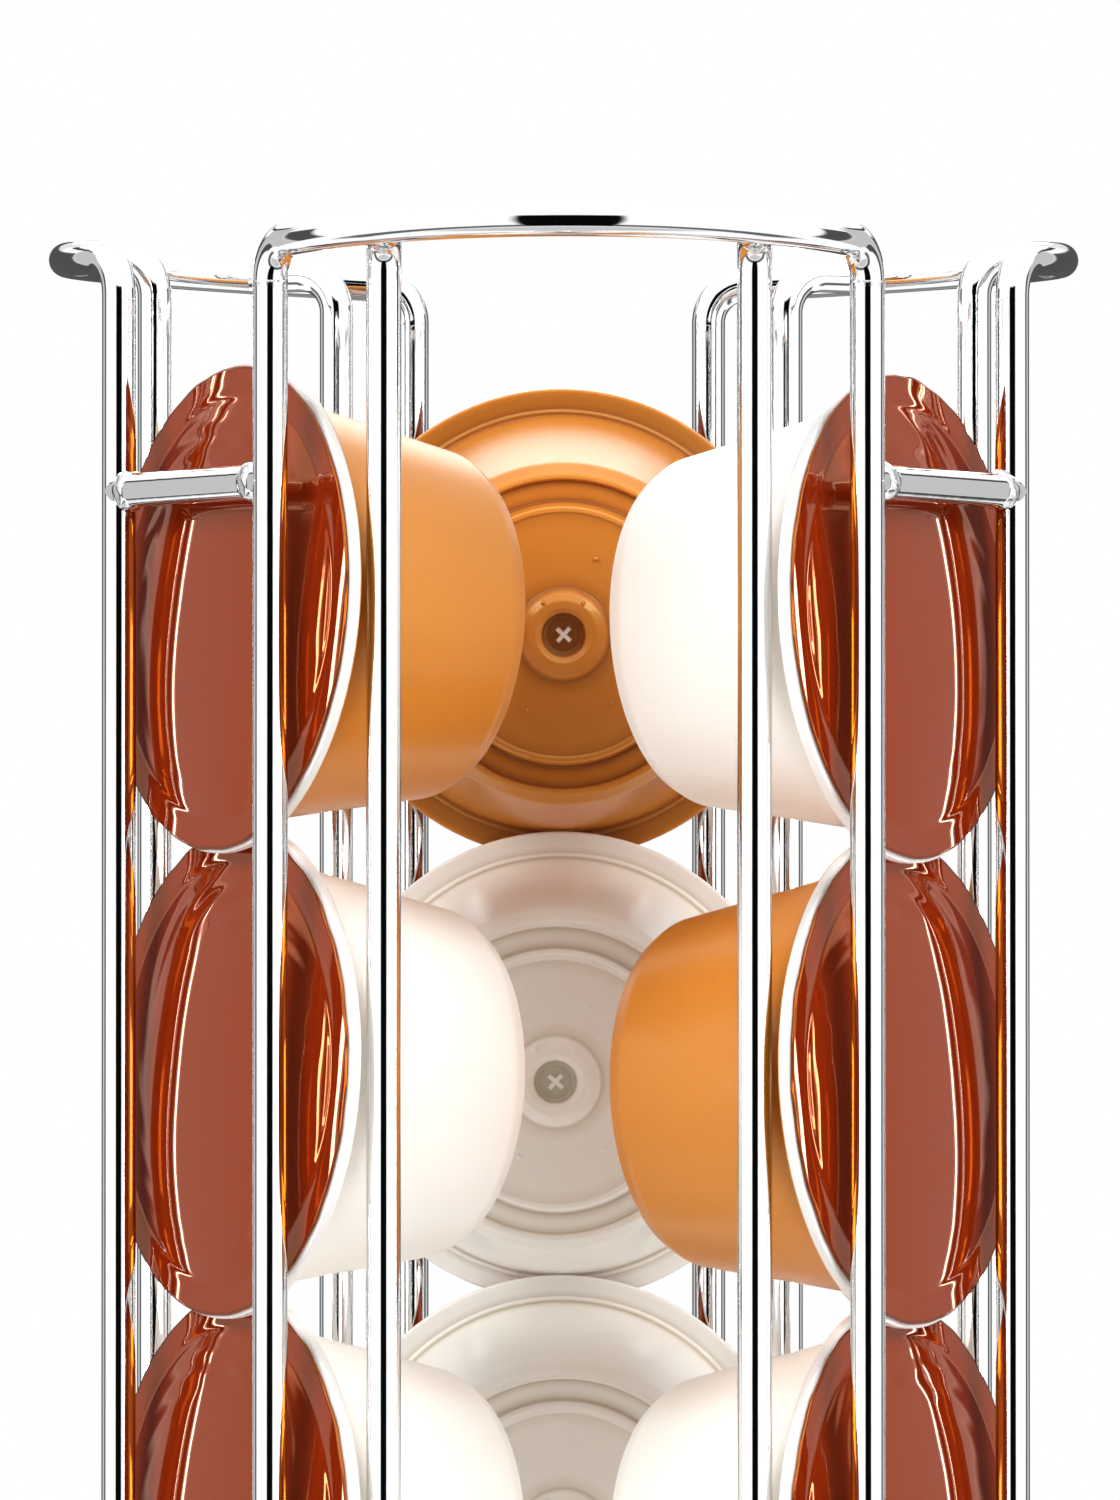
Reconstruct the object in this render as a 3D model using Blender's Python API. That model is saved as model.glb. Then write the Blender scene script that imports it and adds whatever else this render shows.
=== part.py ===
"""A loaded three-column wire dispenser for coffee capsules, on a turntable foot.

Three wire modules stand round one axis. Each is a rim loop, bent from one wire into a
bulging rim and two outer legs, with two inner legs butted to the inside of the rim.
The capsules stack in the gaps between the modules. Each flange runs in the slot between
the inner legs behind it and the outer legs in front of it, and leans against both.
The lowest capsule of each column stands on the dish, under the outer legs, and draws out.

Metres, +Z up, origin on the floor under the turntable's axis. -Y is the front module.
"""

import math

import bmesh
import bpy
from mathutils import Matrix, Vector

# Layout
MODULES = 3
ROWS = 6
MODULE_NAMES = ("front", "rear_right", "rear_left")
COLUMN_NAMES = ("right", "back", "left")
FRONT_AZIMUTH = math.radians(-90)
HALF_MODULE_ANGLE = math.pi / MODULES

# Gap kept between neighbours that touch or are welded on the real object
SEAT_GAP = 0.0003

# Capsule: depths are measured inwards from the flange's outer face
FLANGE_RADIUS = 0.0270
FLANGE_THICKNESS = 0.0012
CUP_ROOT_RADIUS = 0.02385
CUP_WAIST_RADIUS = 0.02165
CUP_WAIST_DEPTH = 0.0130
CUP_SHOULDER_RADIUS = 0.0189
CUP_SHOULDER_DEPTH = 0.0256
CUP_RIDGE_RADIUS = 0.0178
CUP_RIDGE_DEPTH = 0.0266
CUP_CHANNEL_RADIUS = 0.0155
CUP_CHANNEL_DEPTH = 0.0262
CUP_BOTTOM_RADIUS = 0.0143
CUP_DEPTH = 0.0285
NUB_RADIUS = 0.0048
NUB_HEIGHT = 0.0013
NUB_CUP_RADIUS = 0.0026
FOIL_EDGE_WIDTH = 0.0012
FOIL_THICKNESS = 0.0003
FOIL_GAP = 0.0001
CAPSULE_SEGMENTS = 20

# How the capsules stand in the rack
CAPSULE_LEAN = math.radians(3.0)
STEEPER_CAPSULE_LEAN = {("back", 1): math.radians(4.2), ("left", 1): math.radians(3.6)}
CUP_BOTTOM_TO_AXIS = 0.0141
STACK_CLEARANCE = 0.0001
BOTTOM_CLEARANCE = {"right": 0.00035, "back": 0.00145, "left": 0.00145}
ORANGE_CUPS = {("left", 1), ("back", 1), ("right", 2), ("left", 4), ("right", 5), ("back", 6)}
CAPSULE_TURN = {("back", 2): math.radians(-1.8), ("back", 4): math.radians(1.2)}

# Wire frame
WIRE_DIAMETER = 0.0038
BEND_RADIUS = 0.0044
CUP_TO_LEG_CLEARANCE = 0.00002
SLOT_BACK_CLEARANCE = 0.00012
SLOT_FRONT_CLEARANCE = 0.00084
OUTER_LEG_LATERAL = 0.0171
RIM_BULGE = 0.0208
RIM_SLOPE = math.radians(3.4)
RIM_ABOVE_TOP_ROW = 0.03924
TIE_BAR_DROP = 0.0261
WELD_BEAD_DIAMETER = 0.0048
WELD_BEAD_WIDTH = 0.0008
WELD_BEAD_FILLET = 0.0006
DRAW_OUT_CLEARANCE = 0.0004
WIRE_BEVEL_STEPS = 2
BEND_STEPS = 4
RIM_STEPS = 14
RING_STEPS = 48

# Turntable and foot
SHEET = 0.0012
RUBBER_HEIGHT = 0.0030
RUBBER_WIDTH = 0.0060
RUBBER_INSET = 0.0020
FOOT_TO_SKIRT_GAP = 0.0049
FOOT_LIP_HEIGHT = 0.0025
FOOT_HUB_RISE = 0.0036
FOOT_HUB_RADIUS = 0.0120
FOOT_HUB_SLOPE_WIDTH = 0.0060
GLIDE_RING_RADIUS = 0.0280
GLIDE_RING_WIDTH = 0.0080
GLIDE_RING_HEIGHT = 0.0040
DISH_OVERHANG = 0.0050
DISH_FLAT_RADIUS = 0.0350
DISH_EDGE_RADIUS = 0.0040
DISH_SKIRT_DROP = 0.0017
DISH_EDGE_STEPS = 3
BUSH_WALL = 0.0017
BOLT_RADIUS = 0.0030
BOLT_CLEARANCE = 0.0003
BOLT_HEAD_RADIUS = 0.0055
BOLT_HEAD_HEIGHT = 0.0032
BOLT_TAIL = 0.0005
WASHER_RADIUS = 0.0080
WASHER_THICKNESS = 0.0010
NUT_RADIUS = 0.0058
NUT_HEIGHT = 0.0030
BASE_SEGMENTS = 40
HARDWARE_SEGMENTS = 12
HEX_SIDES = 6
CUT_OVERRUN = 0.0010

WIRE_RADIUS = WIRE_DIAMETER / 2
MERGE_DISTANCE = 0.000001
SMOOTH_ANGLE = math.radians(40)


def material(name, colour, roughness, metallic=0.0):
    """A Principled material in one colour."""
    made = bpy.data.materials.new(name)
    made.use_nodes = True
    shader = made.node_tree.nodes["Principled BSDF"]
    shader.inputs["Base Color"].default_value = (*colour, 1.0)
    shader.inputs["Roughness"].default_value = roughness
    shader.inputs["Metallic"].default_value = metallic
    made.diffuse_color = (*colour, 1.0)
    return made


def empty(name, parent=None, azimuth=0.0):
    made = bpy.data.objects.new(name, None)
    bpy.context.scene.collection.objects.link(made)
    made.parent = parent
    made.rotation_euler = (0, 0, azimuth)
    return made


def finished_mesh(name, shape, finish):
    """Welds, turns outwards and shades a bmesh, and gives it its material."""
    bmesh.ops.remove_doubles(shape, verts=shape.verts, dist=MERGE_DISTANCE)
    bmesh.ops.recalc_face_normals(shape, faces=shape.faces)
    mesh = bpy.data.meshes.new(name)
    shape.to_mesh(mesh)
    shape.free()
    mesh.materials.append(finish)
    mesh.shade_smooth()
    mesh.set_sharp_from_angle(angle=SMOOTH_ANGLE)
    return mesh


def piece(name, mesh, parent, location=(0, 0, 0), rotation=(0, 0, 0)):
    made = bpy.data.objects.new(name, mesh)
    bpy.context.scene.collection.objects.link(made)
    made.parent = parent
    made.location = location
    made.rotation_euler = rotation
    return made


def cutter(name, mesh, parent, location=(0, 0, 0), rotation=(0, 0, 0)):
    made = piece(name, mesh, parent, location, rotation)
    made.hide_render = True
    made.display_type = "WIRE"
    return made


def cut_by(target, *tools):
    for tool in tools:
        boolean = target.modifiers.new("cope_" + tool.name, "BOOLEAN")
        boolean.operation = "DIFFERENCE"
        boolean.solver = "EXACT"
        boolean.object = tool


def turned(name, outline, segments, finish):
    """Spins a closed outline of (radius, height) points about Z."""
    shape = bmesh.new()
    corners = [shape.verts.new((radius, 0, height)) for radius, height in outline]
    edges = [shape.edges.new((a, b)) for a, b in zip(corners, corners[1:] + corners[:1])
             if not (a.co.x == 0 and b.co.x == 0)]
    bmesh.ops.spin(shape, geom=corners + edges, cent=(0, 0, 0), axis=(0, 0, 1),
                   angle=math.tau, steps=segments, use_merge=True)
    return finished_mesh(name, shape, finish)


def wire_mesh(name, points, diameter, finish, shares=None, closed=False):
    """A round wire along the points; shares scale its thickness point by point."""
    curve = bpy.data.curves.new(name, "CURVE")
    curve.dimensions = "3D"
    curve.bevel_depth = diameter / 2
    curve.bevel_resolution = WIRE_BEVEL_STEPS
    curve.use_fill_caps = not closed
    spline = curve.splines.new("POLY")
    spline.points.add(len(points) - 1)
    spline.use_cyclic_u = closed
    for index, point in enumerate(points):
        spline.points[index].co = (*point, 1.0)
        spline.points[index].radius = shares[index] if shares else 1.0
    path = bpy.data.objects.new(name, curve)
    bpy.context.scene.collection.objects.link(path)
    raw = bpy.data.meshes.new_from_object(path)
    bpy.data.objects.remove(path)
    bpy.data.curves.remove(curve)
    shape = bmesh.new()
    shape.from_mesh(raw)
    bpy.data.meshes.remove(raw)
    return finished_mesh(name, shape, finish)


def to_module(radial, lateral):
    """A column's (radial, lateral) place in the frame of the module beside it."""
    return (radial * math.cos(HALF_MODULE_ANGLE) + lateral * math.sin(HALF_MODULE_ANGLE),
            radial * math.sin(HALF_MODULE_ANGLE) - lateral * math.cos(HALF_MODULE_ANGLE))


class Layout:
    """Heights and places that follow from the driving sizes."""

    def __init__(self):
        lean_reach = FLANGE_RADIUS * math.sin(CAPSULE_LEAN)
        flange_half = FLANGE_RADIUS * math.cos(CAPSULE_LEAN)
        cup_half = CUP_ROOT_RADIUS * math.cos(CAPSULE_LEAN)
        self.seat_radius = CUP_BOTTOM_TO_AXIS + CUP_DEPTH
        self.foil_front = FOIL_GAP + FOIL_THICKNESS

        inner_radial = (self.seat_radius - FLANGE_THICKNESS - lean_reach
                        - SLOT_BACK_CLEARANCE - WIRE_RADIUS)
        inner_lateral = CUP_ROOT_RADIUS + CUP_TO_LEG_CLEARANCE + WIRE_RADIUS
        self.outer_radial = (self.seat_radius + self.foil_front + lean_reach
                             + SLOT_FRONT_CLEARANCE + WIRE_RADIUS)
        self.inner_leg = to_module(inner_radial, inner_lateral)
        self.outer_leg = to_module(self.outer_radial, OUTER_LEG_LATERAL)
        self.ring_radius = math.hypot(*self.outer_leg)

        # The rim arc bulges past the outer legs, and its end bends run into them without a kink.
        half_spread = self.outer_leg[1]
        self.rim_half_angle = 2 * math.atan2(RIM_BULGE, half_spread + BEND_RADIUS)
        self.rim_radius = ((half_spread - BEND_RADIUS * math.cos(self.rim_half_angle))
                           / math.sin(self.rim_half_angle))
        self.rim_centre = self.outer_leg[0] + RIM_BULGE - self.rim_radius
        self.dish_radius = self.outer_leg[0] + RIM_BULGE + WIRE_RADIUS + DISH_OVERHANG
        self.foot_radius = self.dish_radius - SHEET - FOOT_TO_SKIRT_GAP

        self.foot_bottom = RUBBER_HEIGHT + SEAT_GAP
        self.foot_top = self.foot_bottom + SHEET
        self.hub_bottom = self.foot_bottom + FOOT_HUB_RISE
        self.glide_bottom = self.foot_top + SEAT_GAP
        self.glide_top = self.glide_bottom + GLIDE_RING_HEIGHT
        self.dish_bottom = self.glide_top + SEAT_GAP
        self.dish_top = self.dish_bottom + SHEET

        standing_radius = self.seat_radius + lean_reach
        standing_height = self.dish_height(standing_radius) + SEAT_GAP
        self.bottom_row = standing_height + flange_half
        row_pitch = flange_half + cup_half + STACK_CLEARANCE
        self.row_height = {}
        for column, clearance in BOTTOM_CLEARANCE.items():
            second_last = self.bottom_row + 2 * flange_half + clearance
            for row in range(1, ROWS):
                self.row_height[column, row] = second_last + (ROWS - 1 - row) * row_pitch
            self.row_height[column, ROWS] = self.bottom_row

        bottom_flange_top = self.bottom_row + flange_half
        draw_out_rise = (self.ring_radius + WIRE_RADIUS - self.seat_radius) * math.tan(CAPSULE_LEAN)
        self.ring_height = bottom_flange_top + draw_out_rise + DRAW_OUT_CLEARANCE + WIRE_RADIUS
        self.rim_end_height = max(self.row_height.values()) + RIM_ABOVE_TOP_ROW
        self.tie_bar_height = self.rim_end_height - TIE_BAR_DROP

    def dish_height(self, radius):
        """The dish's top face: flat in the middle, then rising at the capsules' lean."""
        return self.dish_top + max(0.0, radius - DISH_FLAT_RADIUS) * math.tan(CAPSULE_LEAN)

    def rim_height(self, distance):
        """The rim's centreline, which rises outwards a little from its ends."""
        end = self.rim_centre + self.rim_radius * math.cos(self.rim_half_angle)
        return self.rim_end_height + (distance - end) * math.tan(RIM_SLOPE)


def bend(start, heading):
    """Points of a quarter bend from a level heading to straight down, after its start."""
    points = []
    for step in range(1, BEND_STEPS + 1):
        angle = math.pi / 2 * step / BEND_STEPS
        level = heading * (BEND_RADIUS * math.sin(angle))
        fall = Vector((0, 0, -BEND_RADIUS * (1 - math.cos(angle))))
        points.append(start + level + fall)
    return points


def rim_loop_path(place):
    """Up one outer leg, round the rim and down the other, with +X out of the module."""
    rim = []
    for step in range(RIM_STEPS + 1):
        angle = place.rim_half_angle * (2 * step / RIM_STEPS - 1)
        distance = place.rim_centre + place.rim_radius * math.cos(angle)
        rim.append(Vector((distance, place.rim_radius * math.sin(angle), place.rim_height(distance))))
    half = place.rim_half_angle
    right_end = bend(rim[-1], Vector((-math.sin(half), math.cos(half), 0)))
    left_end = bend(rim[0], Vector((-math.sin(half), -math.cos(half), 0)))
    path = left_end[::-1] + rim + right_end
    feet = [Vector((p.x, p.y, place.ring_height)) for p in (path[0], path[-1])]
    return [feet[0]] + path + [feet[1]]


def inner_leg_path(place, side):
    """Up from the dish, then out through the bend to the inside of the rim."""
    distance, offset = place.inner_leg[0], side * place.inner_leg[1]
    rim_distance = place.rim_centre + math.sqrt(place.rim_radius ** 2 - offset ** 2)
    height = place.rim_height(rim_distance)
    run_start = Vector((distance + BEND_RADIUS, offset, height))
    curve = bend(run_start, Vector((-1, 0, 0)))
    dish = place.dish_height(math.hypot(distance, offset) + WIRE_RADIUS)
    foot = Vector((distance, offset, dish + SEAT_GAP))
    return [foot] + curve[::-1] + [run_start, Vector((rim_distance, offset, height))]


def tie_bar_wire(place, finish):
    """A short bar between two outer legs, upset into a bead at each weld."""
    bead_share = WELD_BEAD_DIAMETER / WIRE_DIAMETER
    bead_start = WIRE_RADIUS + SEAT_GAP
    stops = [(0.0, 1.0), (bead_start, 1.0),
             (bead_start + WELD_BEAD_FILLET, bead_share),
             (bead_start + WELD_BEAD_FILLET + WELD_BEAD_WIDTH, bead_share),
             (bead_start + 2 * WELD_BEAD_FILLET + WELD_BEAD_WIDTH, 1.0)]
    half = OUTER_LEG_LATERAL
    points = [Vector((0, stop - half, 0)) for stop, _ in stops]
    points += [Vector((0, half - stop, 0)) for stop, _ in reversed(stops)]
    shares = [share for _, share in stops] + [share for _, share in reversed(stops)]
    return wire_mesh("tie_bar", points, WIRE_DIAMETER, finish, shares)


def build_wire_frame(place, rack, chrome):
    """The three modules, the bars that tie them and the ring that ends the outer legs."""
    cope_diameter = WIRE_DIAMETER + 2 * SEAT_GAP
    loop_path = rim_loop_path(place)
    loop = wire_mesh("rim_loop", loop_path, WIRE_DIAMETER, chrome)
    loop_cope = wire_mesh("rim_loop_cope", loop_path, cope_diameter, chrome)
    legs = {side: wire_mesh("inner_leg", inner_leg_path(place, side), WIRE_DIAMETER, chrome)
            for side in (-1, 1)}
    ring_points = [Vector((place.ring_radius * math.cos(math.tau * step / RING_STEPS),
                           place.ring_radius * math.sin(math.tau * step / RING_STEPS),
                           place.ring_height)) for step in range(RING_STEPS)]
    ring = wire_mesh("lower_ring", ring_points, WIRE_DIAMETER, chrome, closed=True)
    ring_cope_mesh = wire_mesh("lower_ring_cope", ring_points, cope_diameter, chrome, closed=True)
    piece("lower_ring", ring, rack)
    ring_cope = cutter("lower_ring_cope", ring_cope_mesh, rack)
    bar = tie_bar_wire(place, chrome)

    copes = []
    for index, name in enumerate(MODULE_NAMES):
        azimuth = FRONT_AZIMUTH + index * 2 * HALF_MODULE_ANGLE
        cope = cutter("rim_loop_cope_" + name, loop_cope, rack, rotation=(0, 0, azimuth))
        copes.append(cope)
        made = piece("rim_loop_" + name, loop, rack, rotation=(0, 0, azimuth))
        cut_by(made, ring_cope)
        for side, label in ((-1, "a"), (1, "b")):
            leg = piece("inner_leg_" + name + "_" + label, legs[side], rack, rotation=(0, 0, azimuth))
            cut_by(leg, cope)
    for index, name in enumerate(COLUMN_NAMES):
        azimuth = FRONT_AZIMUTH + (2 * index + 1) * HALF_MODULE_ANGLE
        middle = Matrix.Rotation(azimuth, 3, "Z") @ Vector((place.outer_radial, 0, place.tie_bar_height))
        made = piece("tie_bar_" + name, bar, rack, middle, (0, 0, azimuth))
        cut_by(made, copes[index], copes[(index + 1) % MODULES])


def cup_outline():
    """Half the cup's section, lid side up: flange, tapering wall, shallow channel, bottom and nub."""
    return [(0, 0), (FLANGE_RADIUS, 0), (FLANGE_RADIUS, -FLANGE_THICKNESS),
            (CUP_ROOT_RADIUS, -FLANGE_THICKNESS), (CUP_WAIST_RADIUS, -CUP_WAIST_DEPTH),
            (CUP_SHOULDER_RADIUS, -CUP_SHOULDER_DEPTH), (CUP_RIDGE_RADIUS, -CUP_RIDGE_DEPTH),
            (CUP_CHANNEL_RADIUS, -CUP_CHANNEL_DEPTH), (CUP_BOTTOM_RADIUS, -CUP_DEPTH),
            (NUB_RADIUS, -CUP_DEPTH), (NUB_CUP_RADIUS, -CUP_DEPTH - NUB_HEIGHT),
            (0, -CUP_DEPTH - NUB_HEIGHT)]


def foil_outline(place):
    radius = FLANGE_RADIUS - FOIL_EDGE_WIDTH
    return [(0, FOIL_GAP), (radius, FOIL_GAP), (radius, place.foil_front), (0, place.foil_front)]


def build_capsules(place, rack, finishes):
    """Every capsule as a cup and its foil lid, leaning back in its column."""
    cups = {colour: turned("cup_" + colour, cup_outline(), CAPSULE_SEGMENTS, finishes[colour])
            for colour in ("orange", "white")}
    foil = turned("foil", foil_outline(place), CAPSULE_SEGMENTS, finishes["foil"])
    for index, column in enumerate(COLUMN_NAMES):
        azimuth = FRONT_AZIMUTH + (2 * index + 1) * HALF_MODULE_ANGLE
        frame = empty("column_" + column, rack, azimuth)
        for row in range(1, ROWS + 1):
            turn = CAPSULE_TURN.get((column, row), 0.0)
            seat = (place.seat_radius, 0, place.row_height[column, row])
            lean = STEEPER_CAPSULE_LEAN.get((column, row), CAPSULE_LEAN)
            lie = (0, math.pi / 2 - lean, turn)
            colour = "orange" if (column, row) in ORANGE_CUPS else "white"
            label = column + "_" + str(row)
            piece("capsule_cup_" + label, cups[colour], frame, seat, lie)
            piece("capsule_foil_" + label, foil, frame, seat, lie)


def dish_outline(place):
    """The turntable's sheet section: flat, then a shallow cone, a rolled edge and a skirt."""
    hole = BOLT_RADIUS + BOLT_CLEARANCE + BUSH_WALL + BOLT_CLEARANCE
    edge_centre_radius = place.dish_radius - DISH_EDGE_RADIUS
    edge_centre_height = place.dish_height(edge_centre_radius) - DISH_EDGE_RADIUS
    outer, inner = [], []
    for step in range(DISH_EDGE_STEPS + 1):
        angle = math.pi / 2 * (1 - step / DISH_EDGE_STEPS)
        for side, radius in ((outer, DISH_EDGE_RADIUS), (inner, DISH_EDGE_RADIUS - SHEET)):
            side.append((edge_centre_radius + radius * math.cos(angle),
                         edge_centre_height + radius * math.sin(angle)))
    top = [(hole, place.dish_top), (DISH_FLAT_RADIUS, place.dish_top)]
    under = [(radius, height - SHEET) for radius, height in top]
    skirt_bottom = edge_centre_height - DISH_SKIRT_DROP
    skirt = [(place.dish_radius, skirt_bottom), (place.dish_radius - SHEET, skirt_bottom)]
    return top + outer + skirt + inner[::-1] + under[::-1]


def foot_outline(place):
    """The foot's sheet section: a raised hub that clears the nut, a flat and a turned-up lip."""
    hole = BOLT_RADIUS + BOLT_CLEARANCE
    slope_end = FOOT_HUB_RADIUS + FOOT_HUB_SLOPE_WIDTH
    lip_top = place.foot_top + FOOT_LIP_HEIGHT
    return [(hole, place.hub_bottom), (FOOT_HUB_RADIUS, place.hub_bottom),
            (slope_end, place.foot_bottom), (place.foot_radius, place.foot_bottom),
            (place.foot_radius, lip_top), (place.foot_radius - SHEET, lip_top),
            (place.foot_radius - SHEET, place.foot_top), (slope_end + SHEET, place.foot_top),
            (FOOT_HUB_RADIUS + SHEET, place.hub_bottom + SHEET), (hole, place.hub_bottom + SHEET)]


def ring_outline(inner, outer, bottom, top):
    return [(inner, bottom), (outer, bottom), (outer, top), (inner, top)]


def disc_outline(radius, bottom, top):
    return ring_outline(0, radius, bottom, top)


def build_base(place, foot, rack, finishes):
    """The dish that turns, the ring and bush it turns on, and the foot that stands still."""
    chrome, steel = finishes["chrome"], finishes["steel"]
    dish = turned("turntable_dish", dish_outline(place), BASE_SEGMENTS, chrome)
    piece("turntable_dish", dish, rack)
    plate = turned("foot_plate", foot_outline(place), BASE_SEGMENTS, steel)
    piece("foot_plate", plate, foot)
    rubber_outer = place.foot_radius - RUBBER_INSET
    rubber_outline = ring_outline(rubber_outer - RUBBER_WIDTH, rubber_outer, 0, RUBBER_HEIGHT)
    rubber = turned("rubber_foot_ring", rubber_outline, BASE_SEGMENTS, finishes["rubber"])
    piece("rubber_foot_ring", rubber, foot)

    glide = turned("glide_ring", ring_outline(GLIDE_RING_RADIUS - GLIDE_RING_WIDTH / 2,
                                              GLIDE_RING_RADIUS + GLIDE_RING_WIDTH / 2,
                                              place.glide_bottom, place.glide_top),
                   BASE_SEGMENTS, finishes["nylon"])
    piece("glide_ring", glide, foot)

    bore = BOLT_RADIUS + BOLT_CLEARANCE
    bush_bottom = place.hub_bottom + SHEET + SEAT_GAP
    bush_top = place.dish_top + SEAT_GAP
    bush = turned("pivot_bush", ring_outline(bore, bore + BUSH_WALL, bush_bottom, bush_top),
                  HARDWARE_SEGMENTS, finishes["nylon"])
    piece("pivot_bush", bush, foot)
    washer_bottom = bush_top + SEAT_GAP
    washer_top = washer_bottom + WASHER_THICKNESS
    washer = turned("pivot_washer", ring_outline(bore, WASHER_RADIUS, washer_bottom, washer_top),
                    HARDWARE_SEGMENTS, steel)
    piece("pivot_washer", washer, foot)

    nut_top = place.hub_bottom - SEAT_GAP
    nut_bottom = nut_top - NUT_HEIGHT
    nut = turned("pivot_nut", disc_outline(NUT_RADIUS, nut_bottom, nut_top), HEX_SIDES, steel)
    thread = turned("nut_thread", disc_outline(bore, nut_bottom - CUT_OVERRUN, nut_top + CUT_OVERRUN),
                    HARDWARE_SEGMENTS, steel)
    cut_by(piece("pivot_nut", nut, foot), cutter("nut_thread", thread, foot))
    head_bottom = washer_top + SEAT_GAP
    bolt = [(0, nut_bottom - BOLT_TAIL), (BOLT_RADIUS, nut_bottom - BOLT_TAIL), (BOLT_RADIUS, head_bottom),
            (BOLT_HEAD_RADIUS, head_bottom), (BOLT_HEAD_RADIUS, head_bottom + BOLT_HEAD_HEIGHT),
            (0, head_bottom + BOLT_HEAD_HEIGHT)]
    piece("pivot_bolt", turned("pivot_bolt", bolt, HARDWARE_SEGMENTS, steel), foot)


def main():
    for old in list(bpy.data.objects):
        bpy.data.objects.remove(old)
    finishes = {
        "chrome": material("chrome", (0.86, 0.87, 0.88), 0.06, 1.0),
        "steel": material("zinc_plated_steel", (0.62, 0.63, 0.65), 0.35, 1.0),
        "orange": material("orange_cup", (0.80, 0.33, 0.09), 0.45),
        "white": material("white_cup", (0.93, 0.90, 0.86), 0.45),
        "foil": material("terracotta_foil", (0.38, 0.075, 0.03), 0.15, 0.3),
        "rubber": material("black_rubber", (0.03, 0.03, 0.03), 0.8),
        "nylon": material("natural_nylon", (0.85, 0.83, 0.78), 0.5),
    }
    place = Layout()
    foot = empty("foot")
    rack = empty("rack", foot)
    build_base(place, foot, rack, finishes)
    build_wire_frame(place, rack, finishes["chrome"])
    build_capsules(place, rack, finishes)


main()
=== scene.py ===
"""The finished look of a loaded wire capsule dispenser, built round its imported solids."""

import math

import bpy
import numpy as np
from bpy.props import FloatProperty, FloatVectorProperty, IntProperty, PointerProperty
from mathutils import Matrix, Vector


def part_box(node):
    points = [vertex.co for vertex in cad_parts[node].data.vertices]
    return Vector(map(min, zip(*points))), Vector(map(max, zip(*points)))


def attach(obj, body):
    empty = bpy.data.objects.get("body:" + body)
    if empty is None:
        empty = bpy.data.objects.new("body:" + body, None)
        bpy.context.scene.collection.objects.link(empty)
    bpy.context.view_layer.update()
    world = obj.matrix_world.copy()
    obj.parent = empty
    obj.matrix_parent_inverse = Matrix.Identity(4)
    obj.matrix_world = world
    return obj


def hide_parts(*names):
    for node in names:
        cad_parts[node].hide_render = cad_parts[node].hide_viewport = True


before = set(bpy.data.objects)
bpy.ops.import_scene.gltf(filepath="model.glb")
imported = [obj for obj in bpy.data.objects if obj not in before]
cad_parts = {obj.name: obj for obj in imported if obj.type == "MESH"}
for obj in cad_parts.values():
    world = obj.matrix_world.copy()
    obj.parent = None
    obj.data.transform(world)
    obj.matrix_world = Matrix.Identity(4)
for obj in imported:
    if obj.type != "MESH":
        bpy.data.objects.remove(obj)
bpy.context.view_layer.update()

bl_info = {
    "name": "Capsule dispenser",
    "version": (1, 0, 0),
    "blender": (4, 5, 0),
    "location": "View3D > Sidebar > Dispenser",
    "description": "Wires, capsules, turntable and studio of a coffee capsule dispenser",
    "category": "Object",
}

MILLIMETRE = 0.001
WHITE = (1.0, 1.0, 1.0, 1.0)
UP = np.array([0.0, 0.0, 1.0])

# Module and column directions, anticlockwise from +X seen from above
MODULE_AZIMUTHS = {"front": -90.0, "rear_right": 30.0, "rear_left": 150.0}
COLUMN_AZIMUTHS = {"right": -30.0, "back": 90.0, "left": 210.0}
# How plainly the weld seam shows on each module's loop
SEAM_SHARES = {"front": 0.6, "rear_right": 0.12, "rear_left": 0.12}
ROWS = range(1, 7)
ORANGE_CUPS = {("left", 1), ("back", 1), ("right", 2), ("left", 4), ("right", 5), ("back", 6)}

# How light spreads in each plastic, its sheen, how deep its flange is in tone, the strength of a
# painted glow that stands in for light coming through the wall from behind, and the tones of the
# filling, of the painted shade in the fine hollows and of the painted highlight on the fine edges
ORANGE_LOOK = {"spread": 0.15, "glow": (1.0, 0.35, 0.12), "depth": 0.002,
               "sheen": (1.0, 0.93, 0.50, 1.0), "sheen_level": 0.7, "flange": 0.60, "through": 0.0,
               "filling": (0.20, 0.055, 0.012, 1.0), "painted_hollow_shade": (0.20, 0.032, 0.004, 1.0),
               "painted_edge_highlight": (0.72, 0.28, 0.045, 1.0)}
WHITE_LOOK = {"spread": 0.20, "glow": (1.0, 0.90, 0.74), "depth": 0.004,
              "sheen": WHITE, "sheen_level": 0.6, "flange": 0.97, "through": 0.075,
              "filling": (0.34, 0.29, 0.17, 1.0), "painted_hollow_shade": (0.50, 0.40, 0.26, 1.0),
              "painted_edge_highlight": (1.0, 0.98, 0.93, 1.0)}
# How far each column's foils sit off the middle of their flanges, sideways and up, in millimetres
FOIL_OFFSETS = {"left": (-0.32, -0.12), "back": (0.1, 0.0), "right": (0.32, 0.05)}
# Half the thickness of a foil's solid
HALF_FOIL = 0.25 * MILLIMETRE

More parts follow.
